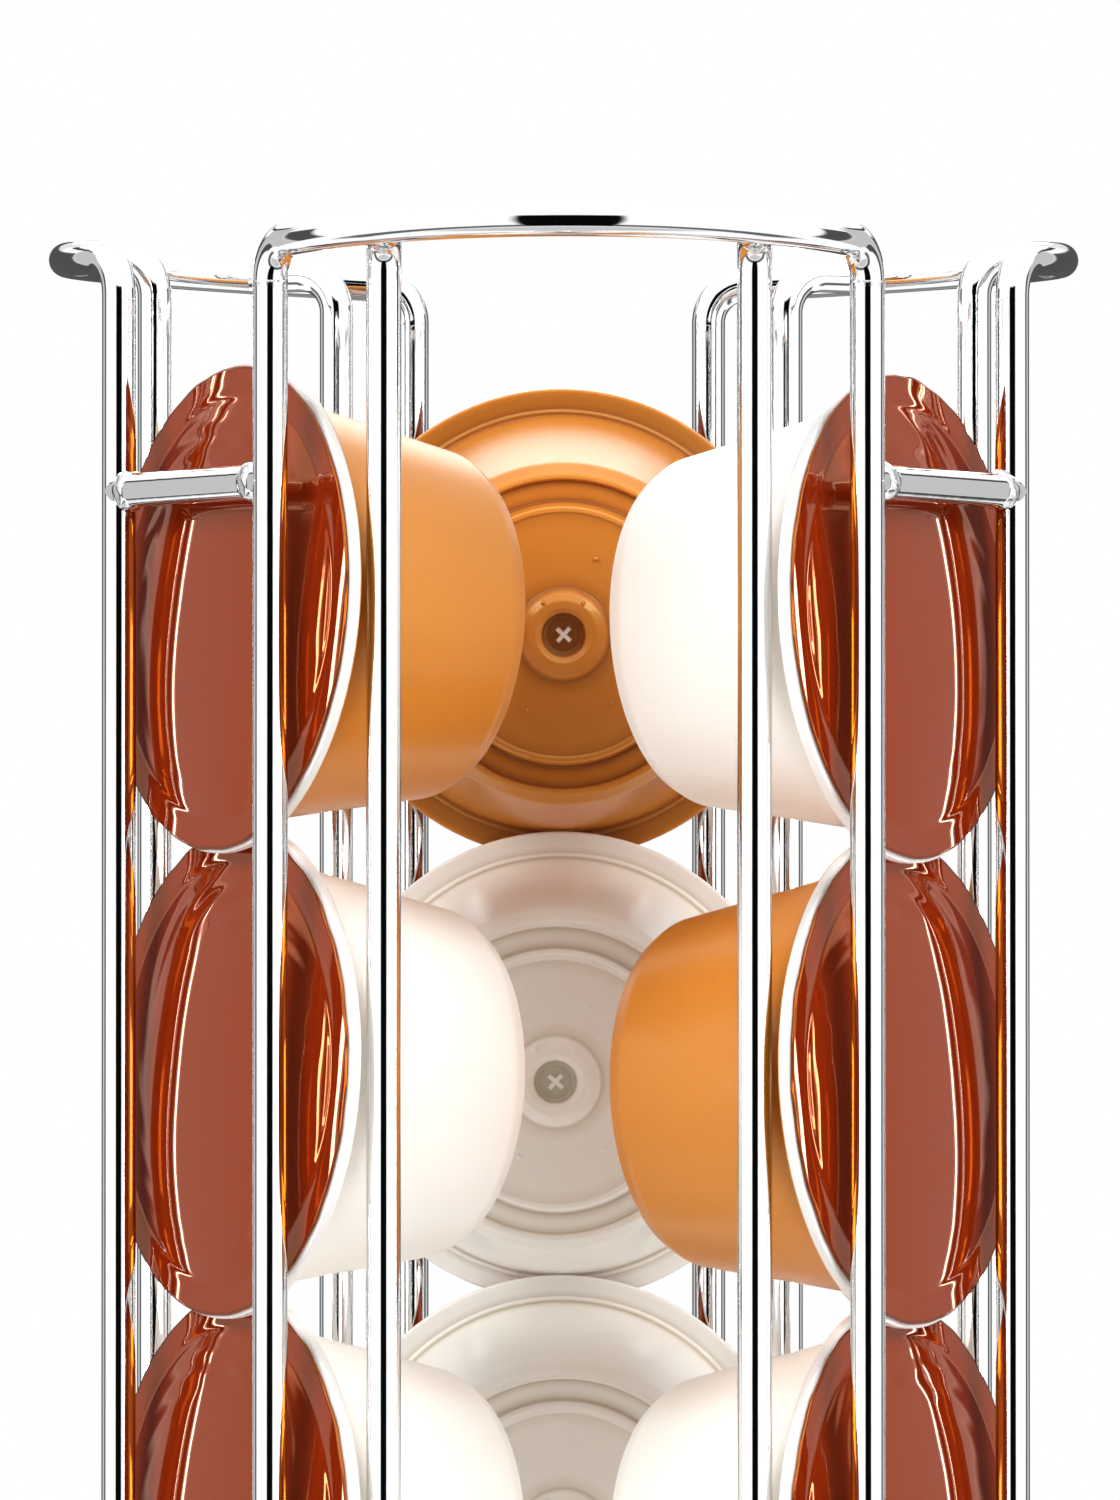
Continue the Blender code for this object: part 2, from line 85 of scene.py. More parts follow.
# Half the cup's section in millimetres: radius, depth behind the flange's face, corner radius, spacing
CUP_SECTION = (
    (0.0, 0.0, 0.0, 3.0), (27.0, 0.0, 0.25, 0.5), (27.0, 1.2, 0.3, 0.5), (24.7, 1.2, 0.1, 0.3),
    (24.45, 1.45, 0.12, 0.3), (24.05, 1.45, 0.12, 0.3), (23.85, 1.75, 0.4, 1.2),
    (21.65, 13.0, 14.0, 1.2), (19.35, 25.0, 2.6, 0.3), (18.1, 26.9, 0.7, 0.3),
    (17.55, 26.95, 0.2, 0.2), (17.3, 26.35, 0.25, 0.6), (14.95, 26.15, 0.4, 0.4),
    (14.5, 28.35, 0.3, 0.3), (14.3, 28.6, 0.12, 0.2), (13.9, 28.6, 0.12, 0.2),
    (13.7, 28.42, 0.15, 1.2), (5.3, 28.5, 0.4, 0.3), (4.75, 29.25, 0.35, 0.2),
    (3.9, 29.8, 0.45, 0.2), (3.1, 29.75, 0.4, 0.2), (2.5, 29.2, 0.3, 0.2),
    (2.35, 28.2, 0.12, 0.2), (1.95, 28.1, 0.06, 0.1), (1.85, 27.95, 0.05, 0.08),
    (0.0, 27.95, 0.0, 0.0),
)
# Pips on a cup's base in millimetres: sideways, up, and outwards from the flange's face
CUP_PIPS = ((-4.1, 8.35, -28.5), (5.1, 7.95, -28.5), (-5.05, -8.0, -28.5), (4.5, -8.2, -28.5),
            (-2.36, 3.5, -29.6), (2.1, 3.77, -29.6))
PIP_RADIUS = 0.30
# Near the axis, points behind this belong to the nub and its recess
NUB_DEPTH = -27.5


# Settings

def amount(name, description, default, **options):
    return FloatProperty(name=name, description=description, default=default, **options)


def length(name, description, default, **options):
    return amount(name, description, default, unit="LENGTH", precision=5, **options)


def degrees(name, description, default):
    return amount(name, description, math.radians(default), subtype="ANGLE")


def count(name, description, default, **options):
    return IntProperty(name=name, description=description, default=default, **options)


def paint(name, description, default):
    return FloatVectorProperty(name=name, description=description, default=default, min=0.0, max=1.0,
                               subtype="COLOR")


class WireSizes(bpy.types.PropertyGroup):
    wire_diameter: length("Wire", "Diameter of every wire", 0.0038, min=0.001, max=0.008)
    bend_radius: length("Bend", "Centreline radius where a leg turns into its rim", 0.0044,
                        min=0.002, max=0.01)
    rim_bulge: length("Rim bulge", "How far a rim stands out of its outer legs", 0.0208,
                      min=0.005, max=0.04)
    rim_slope: degrees("Rim slope", "How steeply a rim rises outwards", 3.4)
    seam_drop: length("Seam drop", "How far under the bend the loop's weld seam lies", 0.0004)
    weld_width: length("Weld width", "Length of a weld bead along the wire", 0.0009)
    weld_height: length("Weld height", "How far a bead stands out of the wire", 0.0005)
    wire_sides: count("Wire sides", "Faces round a wire", 40, min=8, max=96)
    tint: paint("Chrome", "Colour of the plate", (0.80, 0.81, 0.82))


class CapsuleSizes(bpy.types.PropertyGroup):
    foil_radius: length("Foil radius", "Radius of the foil lid", 0.02655)
    panel_radius: length("Panel radius", "Radius inside the sealed ring", 0.0232)
    bulge: length("Bulge", "How far a lid's middle stands out", 0.0017)
    groove_depth: length("Groove", "Depth of the groove inside the sealed ring", 0.00005)
    crease_height: length("Creases", "Height of the creases in the foil", 0.00007)
    cup_segments: count("Cup segments", "Faces round a cup", 96, min=24, max=192)
    orange: paint("Orange cup", "Colour of the orange cups", (0.65, 0.222, 0.028))
    white: paint("White cup", "Colour of the white cups", (0.95, 0.93, 0.885))
    seal: paint("Sealing rim", "Colour of the rim behind a foil", (0.92, 0.91, 0.90))
    foil: paint("Foil", "Colour of the lacquered foil", (0.24, 0.0205, 0.003))


class BaseSizes(bpy.types.PropertyGroup):
    dish_segments: count("Dish segments", "Faces round the dish and foot", 180, min=48, max=360)
    sheet: length("Sheet", "Thickness of the pressed sheet", 0.0012)
    dish_flat: length("Dish flat", "Radius of the dish's flat middle", 0.035)
    dish_edge: length("Dish edge", "Radius of the dish's rolled edge", 0.004)
    dish_rise: degrees("Dish rise", "Slope of the dish outside its flat", 3.0)
    zinc: paint("Zinc", "Colour of the zinc plate", (0.62, 0.63, 0.65))
    rubber: paint("Rubber", "Colour of the foot's rubber", (0.03, 0.03, 0.03))
    nylon: paint("Nylon", "Colour of the bearing parts", (0.85, 0.83, 0.78))


class StudioSettings(bpy.types.PropertyGroup):
    camera_distance: length("Distance", "From the camera to the tower's axis", 1.3)
    camera_height: length("Height", "Height of the camera over the floor", 0.2592)
    camera_azimuth: degrees("Azimuth", "The camera's way round the tower", 0.643)
    camera_pitch: degrees("Pitch", "How far the camera looks up", 0.989)
    camera_yaw: degrees("Yaw", "How far the camera looks left of the axis", 0.0242)
    lens: amount("Lens", "Focal length on a sensor 36 mm high", 280.32, unit="CAMERA")
    ambient: amount("Ambient", "Strength of the even light on the object", 0.33, min=0.0, max=2.0)
    front_shade: amount("Front shade", "How much weaker the light from in front is", 0.5,
                        min=0.0, max=1.0)
    mirrored: amount("Mirrored", "Strength of the panels in reflections", 1.28, min=0.0, max=3.0)
    lamp_face: amount("Lamp faces", "How much brighter lamp faces are in reflections", 14.0,
                      min=0.0, max=40.0)
    top_light: amount("Top light", "Power of the soft light overhead, in watts", 3.5, min=0.0)
    side_light: amount("Side lights", "Power of either softbox in front, in watts", 10.2, min=0.0)
    back_light: amount("Back light", "Power of the softbox behind, in watts", 5.0, min=0.0)
    floor_radius: length("Floor radius", "Radius of the floor", 1.6)
    floor: paint("Floor", "Colour of the floor", (0.86, 0.86, 0.86))


# Node trees

def arithmetic(operation, swapped=False):
    """A method that takes another level or a number, and adds a Math node with this operation."""
    def term(self, other):
        first, second = (other, self) if swapped else (self, other)
        return self.recipe.node("ShaderNodeMath", {"operation": operation}, {0: first, 1: second})
    return term


class Level:
    """One output of a node tree. Arithmetic on it adds Math nodes to that tree."""

    def __init__(self, recipe, socket):
        self.recipe = recipe
        self.socket = socket

    __add__ = __radd__ = arithmetic("ADD")
    __mul__ = __rmul__ = arithmetic("MULTIPLY")
    __sub__ = arithmetic("SUBTRACT")
    __rsub__ = arithmetic("SUBTRACT", swapped=True)
    __truediv__ = arithmetic("DIVIDE")
    __pow__ = arithmetic("POWER")
    larger = arithmetic("MAXIMUM")

    def rise(self, start, end):
        """0 up to start and 1 from end on, with a smooth step between; start may be the larger."""
        return self.recipe.node("ShaderNodeMapRange", {"interpolation_type": "SMOOTHSTEP"},
                                {0: self, 1: start, 2: end})


class Recipe:
    """The node tree of a material or a world, filled one node at a time."""

    def __init__(self, owner, output):
        owner.use_nodes = True
        self.owner = owner
        self.output = output
        self.tree = owner.node_tree
        self.tree.nodes.clear()

    def node(self, kind, settings=None, values=None, output=0):
        """Adds a node, makes its settings, then gives its sockets their values or links."""
        made = self.tree.nodes.new(kind)
        for name, setting in (settings or {}).items():
            setattr(made, name, setting)
        for key, value in (values or {}).items():
            if isinstance(value, Level):
                self.tree.links.new(value.socket, made.inputs[key])
            else:
                made.inputs[key].default_value = value
        return Level(self, made.outputs[output]) if made.outputs else None

    def place(self):
        return self.node("ShaderNodeTexCoord", output="Object")

    def ray(self, kind):
        """1 for rays of this kind and 0 for all others."""
        return self.node("ShaderNodeLightPath", output="Is %s Ray" % kind)

    def parts(self, vector):
        split = self.node("ShaderNodeSeparateXYZ", None, {0: vector})
        return [Level(self, socket) for socket in split.socket.node.outputs]

    def noise(self, scale, detail=2.0, roughness=0.5):
        return self.node("ShaderNodeTexNoise", None, {"Vector": self.place(), "Scale": scale,
                                                      "Detail": detail, "Roughness": roughness})

    def mask(self, name):
        """A number that the mesh carries at each point."""
        return self.node("ShaderNodeAttribute", {"attribute_name": name}, output="Fac")

    def blend(self, share, first, second):
        """The first colour where share is 0 and the second where it is 1."""
        return self.node("ShaderNodeMix", {"data_type": "RGBA"}, {0: share, 6: first, 7: second}, 2)

    def relief(self, height, distance, strength=1.0):
        return self.node("ShaderNodeBump", None,
                         {"Height": height, "Distance": distance, "Strength": strength})

    def surface(self, level):
        """Ends the tree with this surface and returns the material or world."""
        self.node(self.output, None, {"Surface": level})
        return self.owner

    def principled(self, values):
        """Ends the tree with a Principled shader whose sockets get these values or links."""
        return self.surface(self.node("ShaderNodeBsdfPrincipled", None, values))


def material(name):
    """A new material's empty recipe."""
    return Recipe(bpy.data.materials.new(name), "ShaderNodeOutputMaterial")


def colour(rgb, share=1.0):
    """An opaque colour, or a share of it."""
    return (rgb[0] * share, rgb[1] * share, rgb[2] * share, 1.0)


def chrome(name, tint, wave_scale=420.0):
    """Bright plate: a faint haze, a polisher's waviness, and dull mottled metal where mask weld is."""
    recipe = material(name)
    weld = recipe.mask("weld")
    haze = recipe.noise(130.0, 4.0, 0.6)
    mottle = recipe.noise(2600.0, 3.0, 0.65)
    metal = recipe.blend(haze, colour(tint, 0.97), colour(tint))
    burnt = recipe.blend(mottle.rise(0.42, 0.6), colour(tint, 0.30), colour(tint, 0.92))
    waviness = recipe.noise(wave_scale, 1.0)
    return recipe.principled({
        "Base Color": recipe.blend(weld * 0.8, metal, burnt),
        "Metallic": 1.0,
        "Roughness": 0.028 + haze * 0.03 + weld * 0.16,
        "Normal": recipe.relief(waviness * 0.25 + mottle * weld, 0.00012, 0.35),
    })


def moulded(name, plastic, rim, look):
    """Satin moulded plastic with a fine grain, through which some of the light spreads.

    Mask flange is the thin flange, whose tone can be deeper than the walls'. Two masks from the
    section's shape paint shade, deeper in tone, into its fine hollows and a paler painted highlight
    onto its fine edges. Mask recess is the thin floor of the nub, where the dark filling shows
    through, mask cross the pale cross on it, and mask seal the white sealing rim. The weak warm
    emission is a painted glow that stands in for light coming through the wall from behind.
    """
    recipe = material(name)
    cloud = recipe.noise(55.0, 3.0)
    grain = recipe.noise(2300.0, 2.0, 0.6)
    speck = recipe.noise(900.0, 2.0)
    pale = recipe.blend(0.8, colour(plastic), colour(rim))
    tone = recipe.blend(cloud * 0.5 + grain * 0.5, colour(plastic, 0.90), colour(plastic))
    # Painted shade goes into the fine hollows and a painted highlight onto the fine edges
    for mask, share, laid_on in (("flange", 1.0, colour(plastic, look["flange"])),
                                 ("painted_hollow_shade", 0.85, look["painted_hollow_shade"]), ("painted_edge_highlight", 0.6, look["painted_edge_highlight"]),
                                 ("recess", 0.75, look["filling"]), ("cross", 1.0, pale),
                                 ("seal", 1.0, colour(rim))):
        tone = recipe.blend(recipe.mask(mask) * share, tone, laid_on)
    return recipe.principled({
        "Base Color": tone,
        "Roughness": 0.25 + speck * 0.12,
        "Specular IOR Level": look["sheen_level"],
        "Specular Tint": look["sheen"],
        # Painted glow: a weak warm emission in place of light coming through the wall from behind
        "Emission Color": (1.0, 0.91, 0.80, 1.0),
        "Emission Strength": look["through"],
        "Subsurface Weight": look["spread"],
        "Subsurface Radius": look["glow"],
        "Subsurface Scale": look["depth"],
        "Normal": recipe.relief(grain, 0.00002, 0.5),
    })


def lacquered_foil(name, foil):
    """Foil under a deep red-brown colour coat, whose mirror is tinted, and a thin clear lacquer.

    Mask ring marks the sealed ring, which is a little deeper, and mask edge the dark cut edge.
    """
    recipe = material(name)
    cloud = recipe.noise(70.0, 2.0)
    fine = recipe.noise(1500.0, 2.0)
    panel = recipe.blend(cloud * 0.5 + fine * 0.5, colour(foil, 0.90), colour(foil))
    deeper = (foil[0] * 0.92, foil[1] * 0.85, foil[2] * 0.85, 1.0)
    pressed = recipe.blend(recipe.mask("ring"), panel, deeper)
    return recipe.principled({
        "Base Color": recipe.blend(recipe.mask("edge"), pressed, colour(foil, 0.5)),
        "Roughness": 0.012 + fine * 0.014,
        "IOR": 2.2,
        "Specular Tint": (1.0, 0.26, 0.0, 1.0),
        "Coat Weight": 0.06,
        "Coat Roughness": 0.012,
        "Normal": recipe.relief(cloud, 0.0004, 0.12),
    })


def zinc_plate(name, tint):
    """Dull zinc plate with crystal patches and a fine rolled grain."""
    recipe = material(name)
    patches = recipe.noise(260.0, 3.0, 0.7)
    grain = recipe.noise(1900.0, 2.0)
    return recipe.principled({
        "Base Color": recipe.blend(patches.rise(0.35, 0.65), colour(tint, 0.82), colour(tint)),
        "Metallic": 1.0,
        "Roughness": 0.26 + patches * 0.2,
        "Normal": recipe.relief(grain, 0.00002, 0.5),
    })


def plain_polymer(name, tint, roughness, grain_scale):
    """Rubber or nylon: one tone, clouded a little, with a fine grain."""
    recipe = material(name)
    cloud = recipe.noise(120.0, 3.0)
    grain = recipe.noise(grain_scale, 3.0)
    return recipe.principled({
        "Base Color": recipe.blend(cloud, colour(tint, 0.85), colour(tint)),
        "Roughness": roughness - 0.08 + cloud * 0.16,
        "Normal": recipe.relief(grain, 0.00005, 0.5),
    })


# Shapes

def unit(vectors):
    return vectors / np.linalg.norm(vectors, axis=-1, keepdims=True)


def smooth_step(value, start, end):
    """0 up to start, 1 from end on, and 3s^2 - 2s^3 between; start may be the larger."""
    share = np.clip((value - start) / (end - start), 0.0, 1.0)
    return share * share * (3.0 - 2.0 * share)


def points_at(x, y, z):
    """Points from their coordinates, each of which is one number or an array."""
    return np.stack(np.broadcast_arrays(x, y, z), -1)


def ring_angles(segments):
    return np.arange(segments) * math.tau / segments


def grid_faces(rows, columns, wrap_rows=False):
    """Quads between neighbouring rows of a grid whose columns close on themselves."""
    row = np.arange(rows if wrap_rows else rows - 1)[:, None]
    column = np.arange(columns)[None, :]
    next_row, next_column = (row + 1) % rows, (column + 1) % columns
    corners = [row * columns + column, row * columns + next_column,
               next_row * columns + next_column, next_row * columns + column]
    return np.stack([np.broadcast_to(c, (len(row), columns)) for c in corners], -1).reshape(-1, 4)


def capped(grid, first_pole, last_pole):
    """Closes an open tube of points, shaped (rows, columns, 3), with a fan at each end."""
    rows, columns = grid.shape[:2]
    points = np.concatenate([grid.reshape(-1, 3), [first_pole, last_pole]])
    ring = np.arange(columns)
    after = np.roll(ring, -1)
    first, last = rows * columns, rows * columns + 1
    start = np.stack([np.full(columns, first), after, ring], -1)
    base = (rows - 1) * columns
    end = np.stack([np.full(columns, last), base + ring, base + after], -1)
    return points, [grid_faces(rows, columns), start, end]


def facing_out(points, faces):
    """Turns every face round if the volume that they enclose comes out negative."""
    volume = 0.0
    for group in faces:
        for corner in range(1, group.shape[1] - 1):
            a, b, c = points[group[:, 0]], points[group[:, corner]], points[group[:, corner + 1]]
            volume += np.einsum("ij,ij->i", a, np.cross(b, c)).sum()
    return [group[:, ::-1] for group in faces] if volume < 0 else faces


def linked(name, data):
    """Makes an object of a mesh, a light or a camera, and puts it in the scene."""
    made = bpy.data.objects.new(name, data)
    bpy.context.scene.collection.objects.link(made)
    return made


def piece(name, shapes, finish, body, node, masks=None):
    """Makes one mesh of closed shapes, gives it its finish and puts it in a CAD node's place."""
    points, faces, offset = [], [], 0
    for shape_points, shape_faces in shapes:
        points.append(shape_points)
        faces += [(group + offset).tolist() for group in facing_out(shape_points, shape_faces)]
        offset += len(shape_points)
    mesh = bpy.data.meshes.new(name)
    mesh.from_pydata(np.concatenate(points), [], [face for group in faces for face in group])
    for mask, values in (masks or {}).items():
        layer = mesh.attributes.new(mask, "FLOAT", "POINT")
        layer.data.foreach_set("value", np.ascontiguousarray(values, dtype=np.float32))
    mesh.materials.append(finish)
    mesh.shade_smooth()
    made = linked(name, mesh)
    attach(made, body)
    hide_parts(node)


def rounded_section(corners, steps=4):
    """Joins corners by straight runs and rounds each with a curve that touches both its runs.

    A corner's fourth number is how far apart points stand on the run after it, and each run
    has one more point close to either end, so that its shading stays flat.
    """
    nearest = 0.12
    closest_spacing = 0.05
    largest_share = 0.49
    corners = np.asarray(corners, float)
    spots, radii, spacing = corners[:, :2], corners[:, 2], corners[:, 3]
    runs = unit(np.diff(spots, axis=0))
    lengths = np.linalg.norm(np.diff(spots, axis=0), axis=1)
    turns = np.arccos(np.clip((runs[:-1] * runs[1:]).sum(1), -1.0, 1.0))
    setback = np.zeros(len(spots))
    room = largest_share * np.minimum(lengths[:-1], lengths[1:])
    setback[1:-1] = np.minimum(radii[1:-1] * np.tan(turns / 2), room)
    outline = [spots[:1]]
    for index in range(1, len(spots)):
        start = spots[index - 1] + runs[index - 1] * setback[index - 1]
        free = lengths[index - 1] - setback[index - 1] - setback[index]
        close = min(nearest, free / 3)
        stations = max(2, int(free / max(spacing[index - 1], closest_spacing)) + 1)
        stops = np.concatenate([[close], np.linspace(close, free - close, stations)[1:]])
        outline.append(start + runs[index - 1] * stops[:, None])
        if index < len(spots) - 1:
            # A quadratic through the corner is the arc's near twin for these small turns.
            share = np.linspace(0.0, 1.0, steps + 1)[:, None]
            before = spots[index] - runs[index - 1] * setback[index]
            after = spots[index] + runs[index] * setback[index]
            outline.append((1 - share) ** 2 * before + 2 * share * (1 - share) * spots[index]
                           + share ** 2 * after)
    outline.append(spots[-1:])
    return np.concatenate(outline)


def turned(section, segments, hex_shares=None):
    """Carries a section, rows of (radius, height), round Z: x = r cos a, y = r sin a, z = height.

    Where a hex share is 1 the radius follows a hexagon with its corners on that radius.
    A section that starts and ends on the axis closes on two poles, another one on itself.
    """
    angles = ring_angles(segments)
    radius = np.repeat(section[:, :1], segments, axis=1)
    if hex_shares is not None:
        sixth = math.pi / 3
        to_hexagon = math.cos(sixth / 2) / np.cos(np.mod(angles, sixth) - sixth / 2)
        radius = radius * (1 + hex_shares[:, None] * (to_hexagon[None, :] - 1))
    grid = points_at(radius * np.cos(angles), radius * np.sin(angles), section[:, 1:2])
    if section[0, 0] == 0 and section[-1, 0] == 0:
        return capped(grid[1:-1], (0, 0, section[0, 1]), (0, 0, section[-1, 1]))
    return grid.reshape(-1, 3), [grid_faces(len(section), segments, wrap_rows=True)]


def tube(path, side, radius, sides, closed=False):
    """A round wire: each path point gets a circle square to the path, p + r (s cos a + u sin a).

    s is the side vector made square to the path's direction, and u completes the pair. The radius
    is one number, or an array by path point and by side.
    """
    if closed:
        direction = unit(np.roll(path, -1, axis=0) - np.roll(path, 1, axis=0))
    else:
        direction = unit(np.gradient(path, axis=0))
    side = unit(side - direction * (side * direction).sum(1, keepdims=True))
    across = np.cross(direction, side)
    angles = ring_angles(sides)[:, None]
    circle = side[:, None] * np.cos(angles) + across[:, None] * np.sin(angles)
    grid = path[:, None] + np.asarray(radius)[..., None] * circle
    if closed:
        return grid.reshape(-1, 3), [grid_faces(len(path), sides, wrap_rows=True)]
    return capped(grid, path[0], path[-1])


def ellipsoids(centres, radii, rings=6, segments=12):
    """Closed ellipsoids, one round each centre: c + (a sin u cos v, b sin u sin v, c cos u)."""
    polar = np.linspace(0, math.pi, rings + 1)[1:-1, None]
    angles = ring_angles(segments)[None, :]
    ball = points_at(np.sin(polar) * np.cos(angles), np.sin(polar) * np.sin(angles), np.cos(polar))
    points, faces = capped(ball, (0, 0, 1), (0, 0, -1))
    every = np.asarray(centres)[:, None] + points[None] * np.asarray(radii)
    steps = np.arange(len(centres))[:, None, None] * len(points)
    return every.reshape(-1, 3), [(group[None] + steps).reshape(-1, group.shape[1]) for group in faces]


def about_axis(points, azimuth):
    """Points given as (outward, lateral, height) in a module or column that faces that azimuth."""
    turn = math.radians(azimuth)
    outward = np.array([math.cos(turn), math.sin(turn), 0.0])
    lateral = np.array([-math.sin(turn), math.cos(turn), 0.0])
    return points[..., :1] * outward + points[..., 1:2] * lateral + points[..., 2:] * UP


def box_corners(node, scale=1.0):
    """A solid's lowest and highest corner, in metres or in a scale that is given in metres."""
    return [np.array(corner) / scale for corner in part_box(node)]


# Wires

def bend_points(start, heading, sizes, steps=22):
    """A quarter bend from a level heading to straight down: start + h R sin a - z R (1 - cos a)."""
    angle = np.linspace(0, math.pi / 2, steps + 1)[1:, None]
    radius = sizes.bend_radius
    return start + heading * (radius * np.sin(angle)) - UP * (radius * (1 - np.cos(angle)))


class WireLayout:
    """Where the wires run, taken from the solids' own boxes.

    Pairs are (outward, lateral) in a module. A rim lies farthest out in its middle, and an inner
    leg's meeting is where its middle line would reach the rim's.
    """

    def __init__(self, sizes):
        radius = sizes.wire_diameter / 2
        loop_high = box_corners("rim_loop_front")[1]
        leg_low, leg_high = box_corners("inner_leg_front_b")
        ring_low, ring_high = box_corners("lower_ring")
        bar_low, bar_high = box_corners("tie_bar_back")
        self.radius = radius
        self.outer = (radius - loop_high[1], loop_high[0] - radius)
        self.inner = (radius - leg_high[1], (leg_low[0] + leg_high[0]) / 2)
        self.foot_height = leg_low[2]
        self.ring_radius = ring_high[0] - radius
        self.ring_height = (ring_low[2] + ring_high[2]) / 2
        self.bar_height = (bar_low[2] + bar_high[2]) / 2
        self.bar_radial = (bar_low[1] + bar_high[1]) / 2
        half_spread = self.outer[1]
        self.half_angle = 2 * math.atan2(sizes.rim_bulge, half_spread + sizes.bend_radius)
        self.rim_radius = ((half_spread - sizes.bend_radius * math.cos(self.half_angle))
                           / math.sin(self.half_angle))
        self.rim_centre = self.outer[0] + sizes.rim_bulge - self.rim_radius
        self.farthest = self.rim_centre + self.rim_radius
        self.farthest_height = loop_high[2] - radius
        self.meeting = self.rim_centre + math.sqrt(self.rim_radius ** 2 - self.inner[1] ** 2)
        self.meeting_height = leg_high[2] - radius
        self.slope = math.tan(sizes.rim_slope)

    def rim_height(self, distance):
        return self.farthest_height + (distance - self.farthest) * self.slope

    def half_bar(self):
        """An outer leg stands as far to the side of its column as the bar reaches."""
        apart = math.radians(60)
        return self.outer[0] * math.sin(apart) - self.outer[1] * math.cos(apart)


def ragged(mask, sides, seed):
    """How far a weld stands out round the wire: two uneven waves, scaled by its mask along it."""
    angles = ring_angles(sides)
    wave = 0.6 + 0.25 * np.sin(3 * angles + seed) + 0.15 * np.sin(7 * angles + 2 * seed)
    return mask[:, None] * wave[None, :]


# Each of the next four gives a wire's path, its side vectors, its radius and its mask of welds

def rim_loop(sizes, layout, seam_share):
    """One wire: up an outer leg, round the bulging rim, and down the other leg.

    The rim is an arc, n = c + R cos f and t = R sin f, that rises outwards at a small slope. The
    seam swells the wire a little, by exp(-(d / w)^2) for a height d from its middle.
    """
    seam_zone = 0.0025
    seam_half_width = 0.0003
    seam_swell = 0.04
    leg_margin = 0.0006
    half = layout.half_angle
    angle = np.linspace(-half, half, 145)
    outward = layout.rim_centre + layout.rim_radius * np.cos(angle)
    rim = points_at(outward, layout.rim_radius * np.sin(angle), layout.rim_height(outward))
    right = bend_points(rim[-1], np.array([-math.sin(half), math.cos(half), 0.0]), sizes)
    left = bend_points(rim[0], np.array([-math.sin(half), -math.cos(half), 0.0]), sizes)
    legs = []
    for end in (left[-1], right[-1]):
        plain = np.linspace(layout.ring_height, end[2] - seam_zone, 14)[:-1]
        seam = np.linspace(end[2] - seam_zone, end[2], 26)[:-1]
        legs.append(points_at(end[0], end[1], np.concatenate([plain, seam])))
    path = np.concatenate([legs[0], left[::-1], rim, right, legs[1][::-1]])
    spread = np.concatenate([np.full(len(legs[0]) + len(left), -half), angle,
                             np.full(len(legs[1]) + len(right), half)])
    side = points_at(np.cos(spread), np.sin(spread), 0.0)
    seam_height = left[-1][2] - sizes.seam_drop
    on_leg = np.abs(path[:, 1]) > layout.outer[1] - leg_margin
    weld = np.exp(-((path[:, 2] - seam_height) / seam_half_width) ** 2) * on_leg * seam_share
    weld = weld[:, None]
    return path, side, layout.radius * (1 + seam_swell * weld), weld


def inner_leg(sizes, layout, hand, seed):
    """Up from the dish, out through a bend, and level to the inside of the rim, where it is welded."""
    level_margin = 0.003
    start = np.array([layout.inner[0] + sizes.bend_radius, hand * layout.inner[1], layout.meeting_height])
    bend = bend_points(start, np.array([-1.0, 0.0, 0.0]), sizes)
    heights = np.linspace(layout.foot_height, bend[-1][2], 16)[:-1]
    leg = points_at(layout.inner[0], start[1], heights)
    run = points_at(np.linspace(start[0], layout.meeting, 60), start[1], start[2])
    path = np.concatenate([leg, bend[::-1], run])
    gap = layout.meeting - layout.radius - path[:, 0]
    bead = np.exp(-(gap / sizes.weld_width) ** 2) * (path[:, 2] >= start[2] - level_margin)
    weld = ragged(bead, sizes.wire_sides, seed) * 0.6
    side = np.tile([0.0, 1.0, 0.0], (len(path), 1))
    return path, side, layout.radius + sizes.weld_height * weld, weld


def tie_bar(sizes, layout, seed):
    """A straight bar from leg to leg, each end thickened into an uneven weld bead."""
    bead_setback, bead_zone = 0.0011, 0.0025
    half = layout.half_bar()
    bead_middle = half - layout.radius - bead_setback
    near = np.linspace(bead_middle - bead_zone, half, 48)
    stops = np.concatenate([-near[::-1], np.linspace(-near[0], near[0], 10)[1:-1], near])
    path = points_at(layout.bar_radial, stops, layout.bar_height)
    reach = (np.abs(stops) - bead_middle) / sizes.weld_width
    weld = ragged(np.exp(-reach ** 4), sizes.wire_sides, seed)
    side = np.tile([1.0, 0.0, 0.0], (len(path), 1))
    return path, side, layout.radius + sizes.weld_height * weld, weld


def lower_ring(layout):
    """A level hoop that the outer legs end on."""
    angle = ring_angles(180)
    radius = layout.ring_radius
    path = points_at(radius * np.cos(angle), radius * np.sin(angle), layout.ring_height)
    return path, np.tile(UP, (len(path), 1)), layout.radius, 0.0


